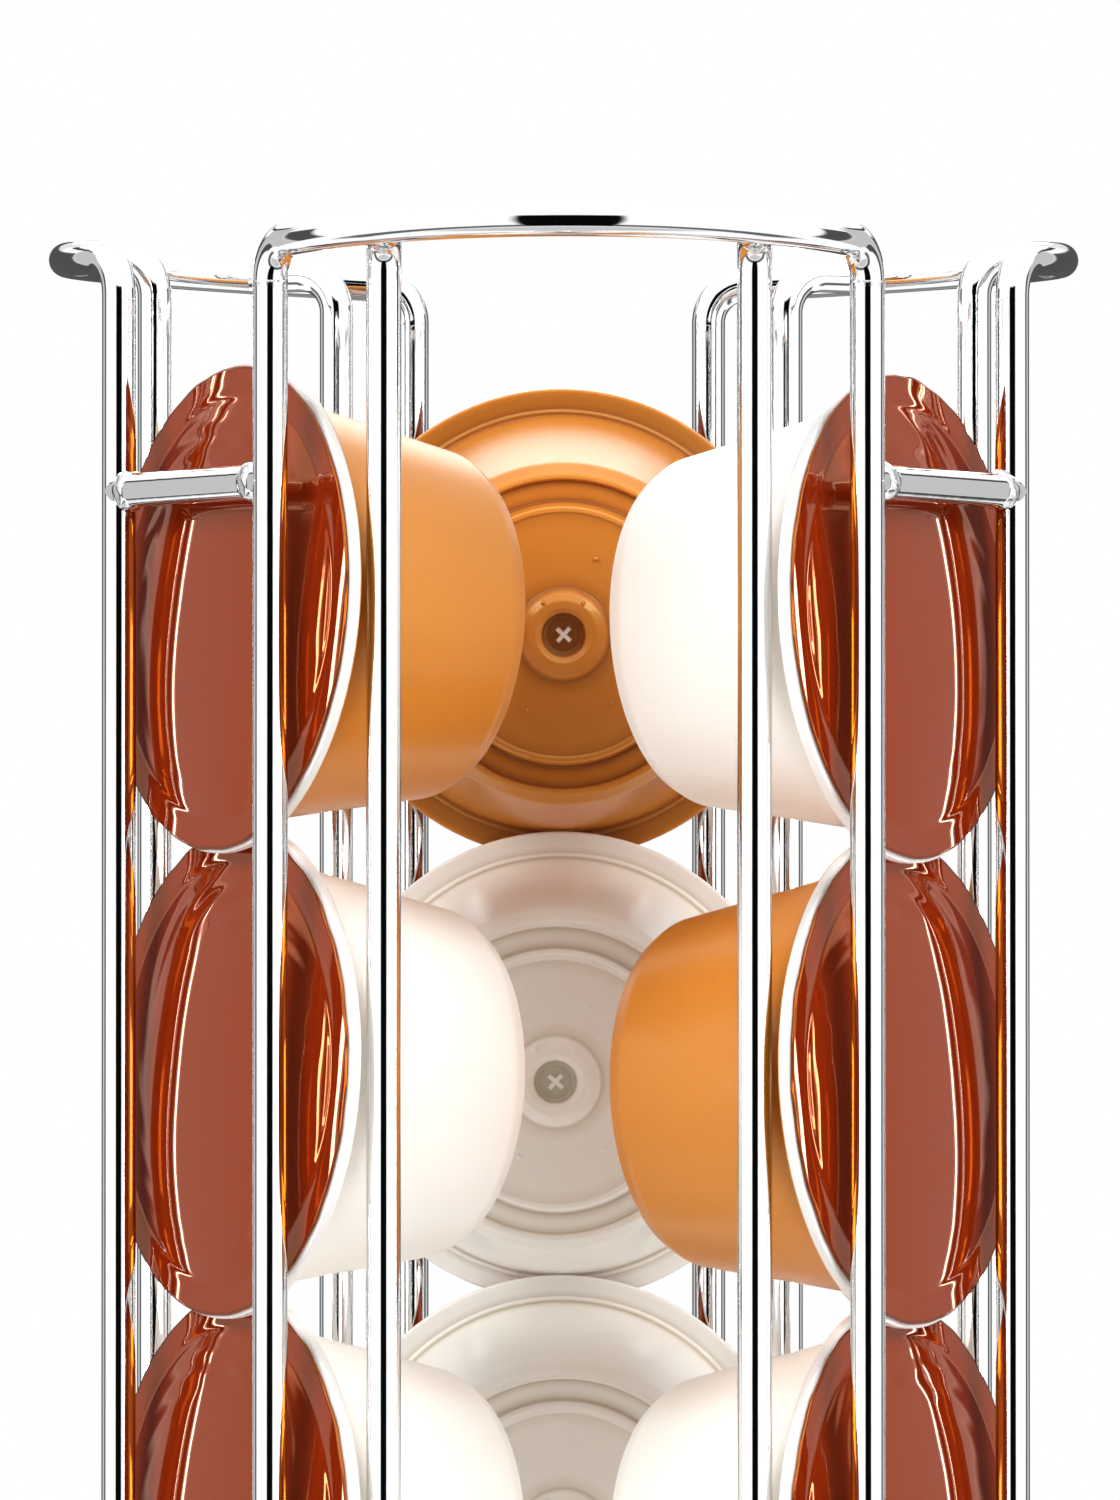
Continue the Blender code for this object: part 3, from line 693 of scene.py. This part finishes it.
class DISPENSER_OT_bend_wires(bpy.types.Operator):
    """Rim loops, inner legs, tie bars and the lower ring, as round wires with their welds"""

    bl_idname = "dispenser.bend_wires"
    bl_label = "Bend wires"

    def execute(self, context):
        sizes = context.scene.dispenser_wires
        layout = WireLayout(sizes)
        plate = chrome("chrome_wire", sizes.tint)

        def add(prefix, node, azimuth, wire, closed=False):
            path, side, radius, weld = wire
            path, side = about_axis(path, azimuth), about_axis(side, azimuth)
            points, faces = tube(path, side, radius, sizes.wire_sides, closed)
            weld = np.broadcast_to(weld, (len(path), sizes.wire_sides)).ravel()
            masks = {"weld": np.pad(weld, (0, len(points) - len(weld)))}
            piece(prefix + node, [(points, faces)], plate, "rack", node, masks)

        for number, (module, azimuth) in enumerate(MODULE_AZIMUTHS.items()):
            loop = rim_loop(sizes, layout, SEAM_SHARES[module])
            add("bent_", "rim_loop_" + module, azimuth, loop)
            for hand, label in ((-1, "a"), (1, "b")):
                leg = inner_leg(sizes, layout, hand, number + hand)
                add("bent_", "inner_leg_%s_%s" % (module, label), azimuth, leg)
        for number, (column, azimuth) in enumerate(COLUMN_AZIMUTHS.items()):
            add("welded_", "tie_bar_" + column, azimuth, tie_bar(sizes, layout, number * 2.1))
        add("bent_", "lower_ring", 0.0, lower_ring(layout), closed=True)
        return {"FINISHED"}


# Capsules

def capsule_places():
    """Each capsule's column, row, and the body that it moves with."""
    for column in COLUMN_AZIMUTHS:
        for row in ROWS:
            moving = {ROWS[0]: "top_capsule_" + column, ROWS[-1]: "bottom_capsule_" + column}
            yield column, row, moving.get(row, "rack")


def capsule_frame(column, row, roll=0.0):
    """Middle of the flange's face and the capsule's own axes, read from its foil's solid.

    The foil is a thin disc, so the direction in which its points spread least is its normal.
    """
    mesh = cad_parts["capsule_foil_%s_%d" % (column, row)].data
    flat = np.empty(len(mesh.vertices) * 3)
    mesh.vertices.foreach_get("co", flat)
    points = np.unique(np.round(flat.reshape(-1, 3), 7), axis=0)
    middle = points.mean(0)
    normal = np.linalg.svd(points - middle)[2][2]
    normal = normal * np.sign(normal[:2] @ middle[:2])
    upright = unit(UP - normal * normal[2])
    side = np.cross(upright, normal)
    turned_side = side * math.cos(roll) + upright * math.sin(roll)
    turned_up = np.cross(normal, turned_side)
    return middle - normal * HALF_FOIL, np.stack([turned_side, turned_up, normal])


def roll_of(column, row):
    """How far a capsule is rolled about its own axis: the two that show their bases hardly are."""
    shown_roll, golden_angle = -3.0, 137.5
    if column == "back" and row < 3:
        return math.radians(shown_roll)
    return math.radians(golden_angle) * (row + 7 * len(column))


def hollows(section, reach, depth):
    """How deep each point of a section lies under its neighbours, where depth counts as 1.

    It is the distance along the outward normal to the neighbours' mean, whose weights are
    exp(-(s / reach)^2) for a distance s along the section. On an edge it is below 0.
    """
    steps = np.linalg.norm(np.diff(section, axis=0), axis=1)
    along = np.concatenate([[0.0], np.cumsum(steps)])
    weights = np.exp(-((along[:, None] - along[None, :]) / reach) ** 2) * np.gradient(along)
    mean = weights @ section / weights.sum(1, keepdims=True)
    heading = unit(np.gradient(section, along, axis=0))
    outward = np.stack([heading[:, 1], -heading[:, 0]], -1)
    return ((mean - section) * outward).sum(1) / depth


def cup_shape(segments):
    """The cup's section carried round its axis, with a raised cross in the nub's recess.

    The cross is the larger of two smoothed bars, |x| < w and |y| < l, turned by an eighth.
    """
    cross_height, inner_seal, wall_radius, seal_depth = 0.55, 20, 24.2, -1.0
    outline = rounded_section(CUP_SECTION)
    hollow = hollows(outline, reach=0.55, depth=0.12)
    hollow = np.concatenate([np.repeat(hollow[1:-1], segments), hollow[[0, -1]]])
    section = outline * MILLIMETRE
    section[:, 1] *= -1
    points, faces = turned(section, segments)
    x, y, z = (points / MILLIMETRE).T
    radius = np.hypot(x, y)
    in_nub = z < NUB_DEPTH
    diagonal = np.abs(x + y) / math.sqrt(2), np.abs(x - y) / math.sqrt(2)
    bars = [smooth_step(across, 0.32, 0.2) * smooth_step(along, 1.15, 1.0)
            for across, along in (diagonal, diagonal[::-1])]
    cross = np.maximum(*bars) * in_nub
    points[:, 2] -= cross_height * MILLIMETRE * cross
    pips = ellipsoids(np.array(CUP_PIPS) * MILLIMETRE, np.full(3, PIP_RADIUS) * MILLIMETRE)
    masks = {
        "cross": cross,
        "recess": smooth_step(radius, 2.6, 2.1) * in_nub,
        "seal": smooth_step(z, seal_depth, seal_depth + 0.1) * (radius > inner_seal),
        "flange": (radius > wall_radius) * (z < seal_depth),
        # Painted shade in the section's fine hollows and a painted highlight on its fine edges
        "painted_hollow_shade": np.clip(hollow, 0, 1),
        "painted_edge_highlight": np.clip(-hollow, 0, 1),
    }
    return [(points, faces), pips], {name: np.pad(values.astype(float), (0, len(pips[0])))
                                     for name, values in masks.items()}


def lid_shape(sizes, seed):
    """Foil: a disc raised into a low dome, h (1 - (r/R)^2.6), with a groove at the sealed ring.

    Faint waves across the panel and sharper creases towards its upper edge bend the reflections,
    and two quick waves, stronger on one side, make its cut edge uneven.
    """
    back, thickness = 0.0001, 0.0003
    edge_band = 0.0004
    wave_height = 0.00003
    segments = 160
    panel, edge = sizes.panel_radius, sizes.foil_radius
    rings = np.concatenate([np.linspace(0, panel * 0.7, 20)[1:],
                            np.linspace(panel * 0.7, panel * 1.06, 34)[1:],
                            np.linspace(panel * 1.06, edge - edge_band, 8)[1:],
                            [edge - edge_band / 2, edge]])
    radius, angle = np.meshgrid(rings, ring_angles(segments), indexing="ij")
    phase = np.random.default_rng(seed).uniform(0, math.tau, 6)
    share = np.clip(radius / panel, 0, 1)
    groove = np.exp(-((radius - panel * 1.015) / 0.0005) ** 2)
    height = sizes.bulge * (1 - share ** 2.6) - sizes.groove_depth * groove
    x, y = radius * np.cos(angle), radius * np.sin(angle)
    slow = np.sin(x * 260 + phase[0]) * np.sin(y * 210 + phase[1])
    top = np.clip(np.sin(angle + 0.35 * math.sin(phase[2])), 0, 1) ** 2
    creases = np.sin(angle * 13 + 3 * np.sin(radius * 420 + phase[3])) * np.sin(radius * 900 + phase[4])
    zone = np.exp(-((share - 0.84) / 0.13) ** 2)
    height = height + wave_height * slow * (1 - share ** 4)
    height = height + sizes.crease_height * creases * zone * (0.15 + top)
    frill = 0.00008 * np.sin(17 * angle + phase[5]) + 0.00007 * np.sin(31 * angle + phase[4])
    frill = frill * (0.6 + 0.4 * np.sin(angle + phase[2]))
    cut = radius + frill * smooth_step(radius, edge * 0.93, edge)
    x, y = cut * np.cos(angle), cut * np.sin(angle)
    front = points_at(x, y, height + back + thickness)
    rim = points_at(x[-1:] * 1.003, y[-1:] * 1.003, back + thickness / 2)
    behind = points_at(x[-1:], y[-1:], back)
    grid = np.concatenate([front, rim, behind])
    shape = capped(grid, (0, 0, sizes.bulge + back + thickness), (0, 0, back))
    reach = np.concatenate([np.repeat(np.concatenate([rings, [edge, edge]]), segments), [0, 0]])
    return [shape], {"ring": smooth_step(reach, panel, panel * 1.03),
                     "edge": smooth_step(reach, edge - edge_band, edge - edge_band / 2)}


class DISPENSER_OT_mould_cups(bpy.types.Operator):
    """The eighteen cups, each turned from one section with its nub, cross and pips"""

    bl_idname = "dispenser.mould_cups"
    bl_label = "Mould cups"

    def execute(self, context):
        sizes = context.scene.dispenser_capsules
        finishes = {
            "orange_cup": moulded("orange_cup", sizes.orange, sizes.seal, ORANGE_LOOK),
            "white_cup": moulded("white_cup", sizes.white, sizes.seal, WHITE_LOOK),
        }
        shapes, masks = cup_shape(sizes.cup_segments)
        for column, row, body in capsule_places():
            face, axes = capsule_frame(column, row, roll_of(column, row))
            placed = [(face + points @ axes, faces) for points, faces in shapes]
            slot = "orange_cup" if (column, row) in ORANGE_CUPS else "white_cup"
            node = "capsule_cup_%s_%d" % (column, row)
            piece("moulded_" + node, placed, finishes[slot], body, node, masks)
        return {"FINISHED"}


class DISPENSER_OT_seal_lids(bpy.types.Operator):
    """The eighteen foil lids, each with creases of its own"""

    bl_idname = "dispenser.seal_lids"
    bl_label = "Seal lids"

    def execute(self, context):
        sizes = context.scene.dispenser_capsules
        foil = lacquered_foil("foil_lid", sizes.foil)
        numbers = {column: number for number, column in enumerate(COLUMN_AZIMUTHS)}
        for column, row, body in capsule_places():
            face, axes = capsule_frame(column, row)
            face = face + np.array([*FOIL_OFFSETS[column], 0.0]) * MILLIMETRE @ axes
            shapes, masks = lid_shape(sizes, 10 * numbers[column] + row)
            placed = [(face + points @ axes, faces) for points, faces in shapes]
            node = "capsule_foil_%s_%d" % (column, row)
            piece("sealed_" + node, placed, foil, body, node, masks)
        return {"FINISHED"}


# Turntable and foot

def turned_piece(name, node, section, segments, finish, body="foot", hexagon=None):
    """A turned piece whose section is given in millimetres, with corner radii and spacing.

    Its radius follows a hexagon wherever hexagon(radius, height) is true.
    """
    outline = rounded_section(section)
    if section[0][0] > 0:
        outline = outline[:-1]
    shares = hexagon(*outline.T).astype(float) if hexagon else None
    piece(name, [turned(outline * MILLIMETRE, segments, shares)], finish, body, node)


def ring_section(inner, outer, bottom, top, corner=0.3):
    """A rounded rectangle that starts and ends in the middle of its top, so that it closes."""
    middle = (inner + outer) / 2
    return [(middle, top, 0, 1), (outer, top, corner, 0.6), (outer, bottom, corner, 1),
            (inner, bottom, corner, 0.6), (inner, top, corner, 1), (middle, top, 0, 1)]


class DISPENSER_OT_press_turntable(bpy.types.Operator):
    """The turntable's chromed dish: flat middle, shallow cone, rolled edge and hemmed skirt"""

    bl_idname = "dispenser.press_turntable"
    bl_label = "Press turntable"

    def execute(self, context):
        sizes = context.scene.dispenser_base
        low, high = box_corners("turntable_dish", MILLIMETRE)
        bush_high = box_corners("pivot_bush", MILLIMETRE)[1]
        washer_low = box_corners("pivot_washer", MILLIMETRE)[0]
        sheet, flat, edge = (value / MILLIMETRE for value in (sizes.sheet, sizes.dish_flat, sizes.dish_edge))
        washer_gap, bush_gap = 0.6, 0.3
        top = washer_low[2] - washer_gap
        hole = bush_high[0] + bush_gap
        outer = high[0]
        cone_end = outer - edge * 0.35
        rim_top = top + (cone_end - flat) * math.tan(sizes.dish_rise)
        section = [
            ((hole + flat) / 2, top, 0, 4), (flat, top, 6.0, 4),
            (cone_end, rim_top, edge * 0.75, 0.8), (outer, rim_top - edge * 0.8, edge * 0.6, 0.8),
            (outer, low[2], 0.4, 0.3), (outer - sheet, low[2], 0.4, 0.8),
            (outer - sheet, rim_top - edge * 0.9, edge * 0.4, 0.8),
            (cone_end - sheet, rim_top - sheet * 1.1, edge * 0.4, 4), (flat, top - sheet, 5.0, 4),
            (hole, top - sheet, 0.2, 0.5), (hole, top, 0.3, 4), ((hole + flat) / 2, top, 0, 4),
        ]
        plate = chrome("chrome_sheet", (0.88, 0.885, 0.89), 90.0)
        turned_piece("pressed_dish", "turntable_dish", section, sizes.dish_segments, plate,
                     "rack")
        return {"FINISHED"}


class DISPENSER_OT_press_foot(bpy.types.Operator):
    """The foot that stands still: pressed plate, rubber ring, nylon glide ring and bush"""

    bl_idname = "dispenser.press_foot"
    bl_label = "Press foot"

    def execute(self, context):
        sizes = context.scene.dispenser_base
        self.plate(sizes)
        self.tread(sizes)
        self.bearings(sizes)
        return {"FINISHED"}

    def plate(self, sizes):
        """A flat plate with a turned-up lip and a hub raised in its middle."""
        sheet = sizes.sheet / MILLIMETRE
        low, high = box_corners("foot_plate", MILLIMETRE)
        bush_low = box_corners("pivot_bush", MILLIMETRE)[0]
        bottom, outer = low[2], high[0]
        hub_top = bush_low[2] - 0.3
        hub, hub_foot, hole = 12.0, 18.0, 3.3
        middle = 35.0
        floor_top = bottom + sheet
        lip_top = floor_top + 2.5
        section = [
            (middle, floor_top, 0, 4), (outer - sheet, floor_top, 1.0, 0.6),
            (outer - sheet, lip_top, 0.4, 0.4), (outer, lip_top, 0.4, 0.6),
            (outer, bottom, 1.2, 4), (hub_foot, bottom, 2.0, 1), (hub, hub_top - sheet, 2.0, 1),
            (hole, hub_top - sheet, 0.2, 0.4), (hole, hub_top, 0.2, 1),
            (hub + sheet, hub_top, 2.0, 1), (hub_foot + sheet, floor_top, 2.0, 4),
            (middle, floor_top, 0, 4),
        ]
        zinc = zinc_plate("zinc_steel", sizes.zinc)
        turned_piece("pressed_foot", "foot_plate", section, sizes.dish_segments, zinc)

    def tread(self, sizes):
        """A rubber ring with two grooves in its underside."""
        low, high = box_corners("rubber_foot_ring", MILLIMETRE)
        bottom, top, outer = low[2], high[2], high[0]
        half = 3.0
        middle = outer - half
        roof = bottom + 0.5
        section = [
            (middle, top, 0, 1), (outer, top, 0.5, 0.6), (outer, bottom, 0.8, 0.6),
            (middle + 1.4, bottom, 0.15, 0.3), (middle + 1.2, roof, 0.15, 0.3),
            (middle + 0.6, roof, 0.15, 0.3), (middle + 0.4, bottom, 0.15, 0.3),
            (middle - 0.4, bottom, 0.15, 0.3), (middle - 0.6, roof, 0.15, 0.3),
            (middle - 1.2, roof, 0.15, 0.3), (middle - 1.4, bottom, 0.15, 0.6),
            (middle - half, bottom, 0.8, 0.6), (middle - half, top, 0.5, 0.6), (middle, top, 0, 1),
        ]
        rubber = plain_polymer("foot_rubber", sizes.rubber, 0.8, 900.0)
        turned_piece("moulded_foot_ring", "rubber_foot_ring", section, sizes.dish_segments, rubber)

    def bearings(self, sizes):
        """The ring that the dish glides on and the bush round the bolt."""
        nylon = plain_polymer("bearing_nylon", sizes.nylon, 0.5, 1400.0)
        ring_width, bore = 8.0, 3.3
        low, high = box_corners("glide_ring", MILLIMETRE)
        glide = ring_section(high[0] - ring_width, high[0], low[2], high[2], 0.6)
        turned_piece("moulded_glide_ring", "glide_ring", glide, sizes.dish_segments, nylon)
        low, high = box_corners("pivot_bush", MILLIMETRE)
        bush = ring_section(bore, high[0], low[2], high[2], 0.25)
        turned_piece("moulded_pivot_bush", "pivot_bush", bush, 64, nylon)


class DISPENSER_OT_fit_pivot(bpy.types.Operator):
    """The pivot's washer, hexagon nut and socket-head bolt"""

    bl_idname = "dispenser.fit_pivot"
    bl_label = "Fit pivot"

    def execute(self, context):
        sizes = context.scene.dispenser_base
        segments = 96
        zinc = zinc_plate("zinc_hardware", [min(1.0, value * 1.15) for value in sizes.zinc])
        low, washer = box_corners("pivot_washer", MILLIMETRE)
        section = ring_section(3.3, washer[0], low[2], washer[2], 0.2)
        turned_piece("turned_washer", "pivot_washer", section, segments, zinc)

        low, high = box_corners("pivot_nut", MILLIMETRE)
        section = ring_section(3.25, high[0], low[2], high[2], 0.35)
        turned_piece("turned_nut", "pivot_nut", section, segments, zinc,
                     hexagon=lambda radius, height: radius > 4.4)

        low, high = box_corners("pivot_bolt", MILLIMETRE)
        bottom, top, head = low[2], high[2], high[0]
        under = washer[2] + 0.3
        shank, socket, socket_floor = 3.0, 1.9, top - 1.7
        section = [
            (0, socket_floor, 0, 0.5), (socket - 0.1, socket_floor, 0.1, 0.4),
            (socket, top - 0.15, 0.1, 0.2), (socket + 0.2, top, 0.1, 0.6),
            (head - 1.2, top, 0.6, 0.6), (head, top - 1.2, 0.6, 0.5), (head, under, 0.3, 0.5),
            (shank, under, 0.2, 0.6), (shank, bottom + 0.4, 0.1, 0.2),
            (shank - 0.4, bottom, 0.1, 0.6), (0, bottom, 0, 1),
        ]
        turned_piece("turned_bolt", "pivot_bolt", section, segments, zinc,
                     hexagon=lambda radius, height: (radius < socket + 0.05) & (height > top - 2.5))
        return {"FINISHED"}


# Studio

def studio_light(recipe, settings):
    """How bright each direction is: in reflections, and as light on the object.

    Reflections show panels by azimuth from the front and by height: a dark gap where the camera
    stands, lamp faces in bright side panels, a dark slot, grey panels with a dark upper frame
    farther round, and a dark band low on the backdrop with a grey one high over it. The ceiling is
    white, and so is the table but for a grey patch in front, its dark near edge and a dark strip
    under the backdrop. The light on the object is even, and weaker from in front of it.
    """
    direction = recipe.node("ShaderNodeTexCoord", output="Generated")
    x, y, z = recipe.parts(direction)
    level = (x * x + y * y) ** 0.5
    forward = (0 - y) / level.larger(0.0001)

    def past(angle, softness=4):
        return forward.rise(math.cos(math.radians(angle)), math.cos(math.radians(angle + softness)))

    above_table = z.rise(-0.48, -0.44)
    slot = past(95) * (1 - past(111)) * z.rise(0.24, 0.18) * 0.93
    grey_panel = past(111) * (1 - past(132)) * z.rise(0.38, 0.36) * 0.48
    frame_line = past(118) * (1 - past(150)) * z.rise(0.36, 0.38) * z.rise(0.44, 0.42) * 0.95
    backdrop = past(132) * z.rise(0.28, 0.22) * 0.93
    high_back = past(150, 10) * z.rise(0.86, 0.80) * 0.30
    camera_gap = (1 - past(17)) * z.rise(0.36, 0.30) * z.rise(-0.82, -0.76) * 0.998
    near_table = (1 - past(60, 20)) * z.rise(-0.74, -0.90) * 0.45
    table_edge = (1 - past(100, 15)) * z.rise(-0.82, -0.77) * z.rise(-0.63, -0.67) * 0.88
    far_table = past(150, 10) * z.rise(-0.46, -0.52) * 0.78
    panels = slot.larger(grey_panel).larger(frame_line).larger(backdrop).larger(high_back)
    dimmed = (panels * above_table).larger(near_table).larger(table_edge).larger(far_table)
    lamp_face = past(32, 3) * (1 - past(54, 3)) * z.rise(0.16, 0.12) * z.rise(-0.16, -0.12)
    shown = (1 - dimmed.larger(camera_gap)) * (1 + lamp_face * settings.lamp_face)
    plain = 1 - (1 - past(25, 30)) * z.rise(0.75, 0.40) * settings.front_shade
    return shown * settings.mirrored, plain * settings.ambient


def studio_world(settings):
    """White to the camera; soft studio panels to reflections and to the light on the object."""
    recipe = Recipe(bpy.data.worlds.new("studio_light"), "ShaderNodeOutputWorld")
    shown, plain = studio_light(recipe, settings)
    seen, mirrored = recipe.ray("Camera"), recipe.ray("Glossy")
    strength = plain + mirrored * (shown - plain)
    return recipe.surface(recipe.node("ShaderNodeBackground", None, {
        "Color": WHITE, "Strength": strength * (1 - seen) + seen}))


def floor_material(settings):
    """A pale matt floor that fades into the white backdrop and lets reflections look through it."""
    recipe = material("studio_floor")
    x, y, _ = recipe.parts(recipe.place())
    distance = (x * x + y * y) ** 0.5
    fade = distance.rise(settings.floor_radius * 0.2, settings.floor_radius * 0.85)
    paper = recipe.node("ShaderNodeBsdfDiffuse", None, {"Color": colour(settings.floor)})
    glow = recipe.node("ShaderNodeEmission", None, {"Strength": 0.85 + recipe.ray("Camera") * 0.15})
    faded = recipe.node("ShaderNodeMixShader", None, {0: fade, 1: paper, 2: glow})
    clear = recipe.node("ShaderNodeBsdfTransparent", None, {"Color": WHITE})
    mixed = recipe.node("ShaderNodeMixShader", None, {0: recipe.ray("Glossy"), 1: faded, 2: clear})
    return recipe.surface(mixed)


class DISPENSER_OT_set_stage(bpy.types.Operator):
    """Floor, soft studio light and the camera at the photograph's angle"""

    bl_idname = "dispenser.set_stage"
    bl_label = "Set stage"

    def execute(self, context):
        settings = context.scene.dispenser_studio
        context.scene.world = studio_world(settings)
        context.scene.view_settings.view_transform = "Standard"
        self.floor(settings)
        self.softbox("top_softbox", settings.top_light, 1.1, -30, 78)
        self.softbox("left_softbox", settings.side_light, 0.7, 52, 32)
        self.softbox("right_softbox", settings.side_light, 0.7, -52, 32)
        self.softbox("back_softbox", settings.back_light, 0.9, 180, 38)
        context.scene.camera = self.camera(settings)
        return {"FINISHED"}

    def floor(self, settings):
        """A flat disc of rings of quads, with a fan in its middle."""
        rings, segments = 24, 96
        radii = np.linspace(0.05, 1.0, rings)[:, None] * settings.floor_radius
        angles = ring_angles(segments)
        grid = points_at(radii * np.cos(angles), radii * np.sin(angles), 0.0)
        points = np.concatenate([grid.reshape(-1, 3), np.zeros((1, 3))])
        ring = np.arange(segments)
        fan = np.stack([np.full(segments, len(points) - 1), ring, np.roll(ring, -1)], -1)
        quads = grid_faces(rings, segments)[:, ::-1]
        mesh = bpy.data.meshes.new("studio_floor")
        mesh.from_pydata(points, [], quads.tolist() + fan.tolist())
        mesh.materials.append(floor_material(settings))
        linked("studio_floor", mesh)

    def softbox(self, name, power, size, azimuth, elevation):
        """A round soft lamp that faces the tower's top; azimuth is to the left of the front."""
        distance, aim_height = 1.2, 0.27
        light = bpy.data.lights.new(name, "AREA")
        light.shape = "DISK"
        light.size = size
        light.energy = power
        light.color = (1.0, 0.99, 0.975)
        round_axis, up = math.radians(azimuth), math.radians(elevation)
        away = Vector((-math.sin(round_axis) * math.cos(up), -math.cos(round_axis) * math.cos(up),
                       math.sin(up)))
        made = linked(name, light)
        made.location = Vector((0, 0, aim_height)) + away * distance
        made.rotation_euler = away.to_track_quat("Z", "Y").to_euler()

    def camera(self, settings):
        lens = bpy.data.cameras.new("photo_camera")
        lens.sensor_fit = "VERTICAL"
        lens.sensor_height = lens.sensor_width = 36.0
        lens.lens = settings.lens
        lens.clip_start, lens.clip_end = 0.05, 20.0
        made = linked("photo_camera", lens)
        azimuth = settings.camera_azimuth
        made.location = (-settings.camera_distance * math.sin(azimuth),
                         -settings.camera_distance * math.cos(azimuth), settings.camera_height)
        made.rotation_euler = (math.pi / 2 + settings.camera_pitch, 0, settings.camera_yaw - azimuth)
        return made


class DISPENSER_PT_panel(bpy.types.Panel):
    """Lists the dispenser's steps and their sizes and colours"""

    bl_label = "Capsule dispenser"
    bl_space_type = "VIEW_3D"
    bl_region_type = "UI"
    bl_category = "Dispenser"

    def draw(self, context):
        for step in STEPS:
            self.layout.operator(step.bl_idname)
        for name in SETTINGS:
            group = getattr(context.scene, name)
            for key in group.__annotations__:
                self.layout.prop(group, key)


SETTINGS = {
    "dispenser_wires": WireSizes,
    "dispenser_capsules": CapsuleSizes,
    "dispenser_base": BaseSizes,
    "dispenser_studio": StudioSettings,
}
STEPS = (
    DISPENSER_OT_bend_wires,
    DISPENSER_OT_mould_cups,
    DISPENSER_OT_seal_lids,
    DISPENSER_OT_press_turntable,
    DISPENSER_OT_press_foot,
    DISPENSER_OT_fit_pivot,
    DISPENSER_OT_set_stage,
)


def register():
    for group in (*SETTINGS.values(), *STEPS, DISPENSER_PT_panel):
        bpy.utils.register_class(group)
    for name, group in SETTINGS.items():
        setattr(bpy.types.Scene, name, PointerProperty(type=group))


def unregister():
    for name in SETTINGS:
        delattr(bpy.types.Scene, name)
    for group in (DISPENSER_PT_panel, *STEPS, *SETTINGS.values()):
        bpy.utils.unregister_class(group)


def main():
    register()
    bpy.ops.dispenser.bend_wires()
    bpy.ops.dispenser.mould_cups()
    bpy.ops.dispenser.seal_lids()
    bpy.ops.dispenser.press_turntable()
    bpy.ops.dispenser.press_foot()
    bpy.ops.dispenser.fit_pivot()
    bpy.ops.dispenser.set_stage()


if __name__ == "__main__":
    main()
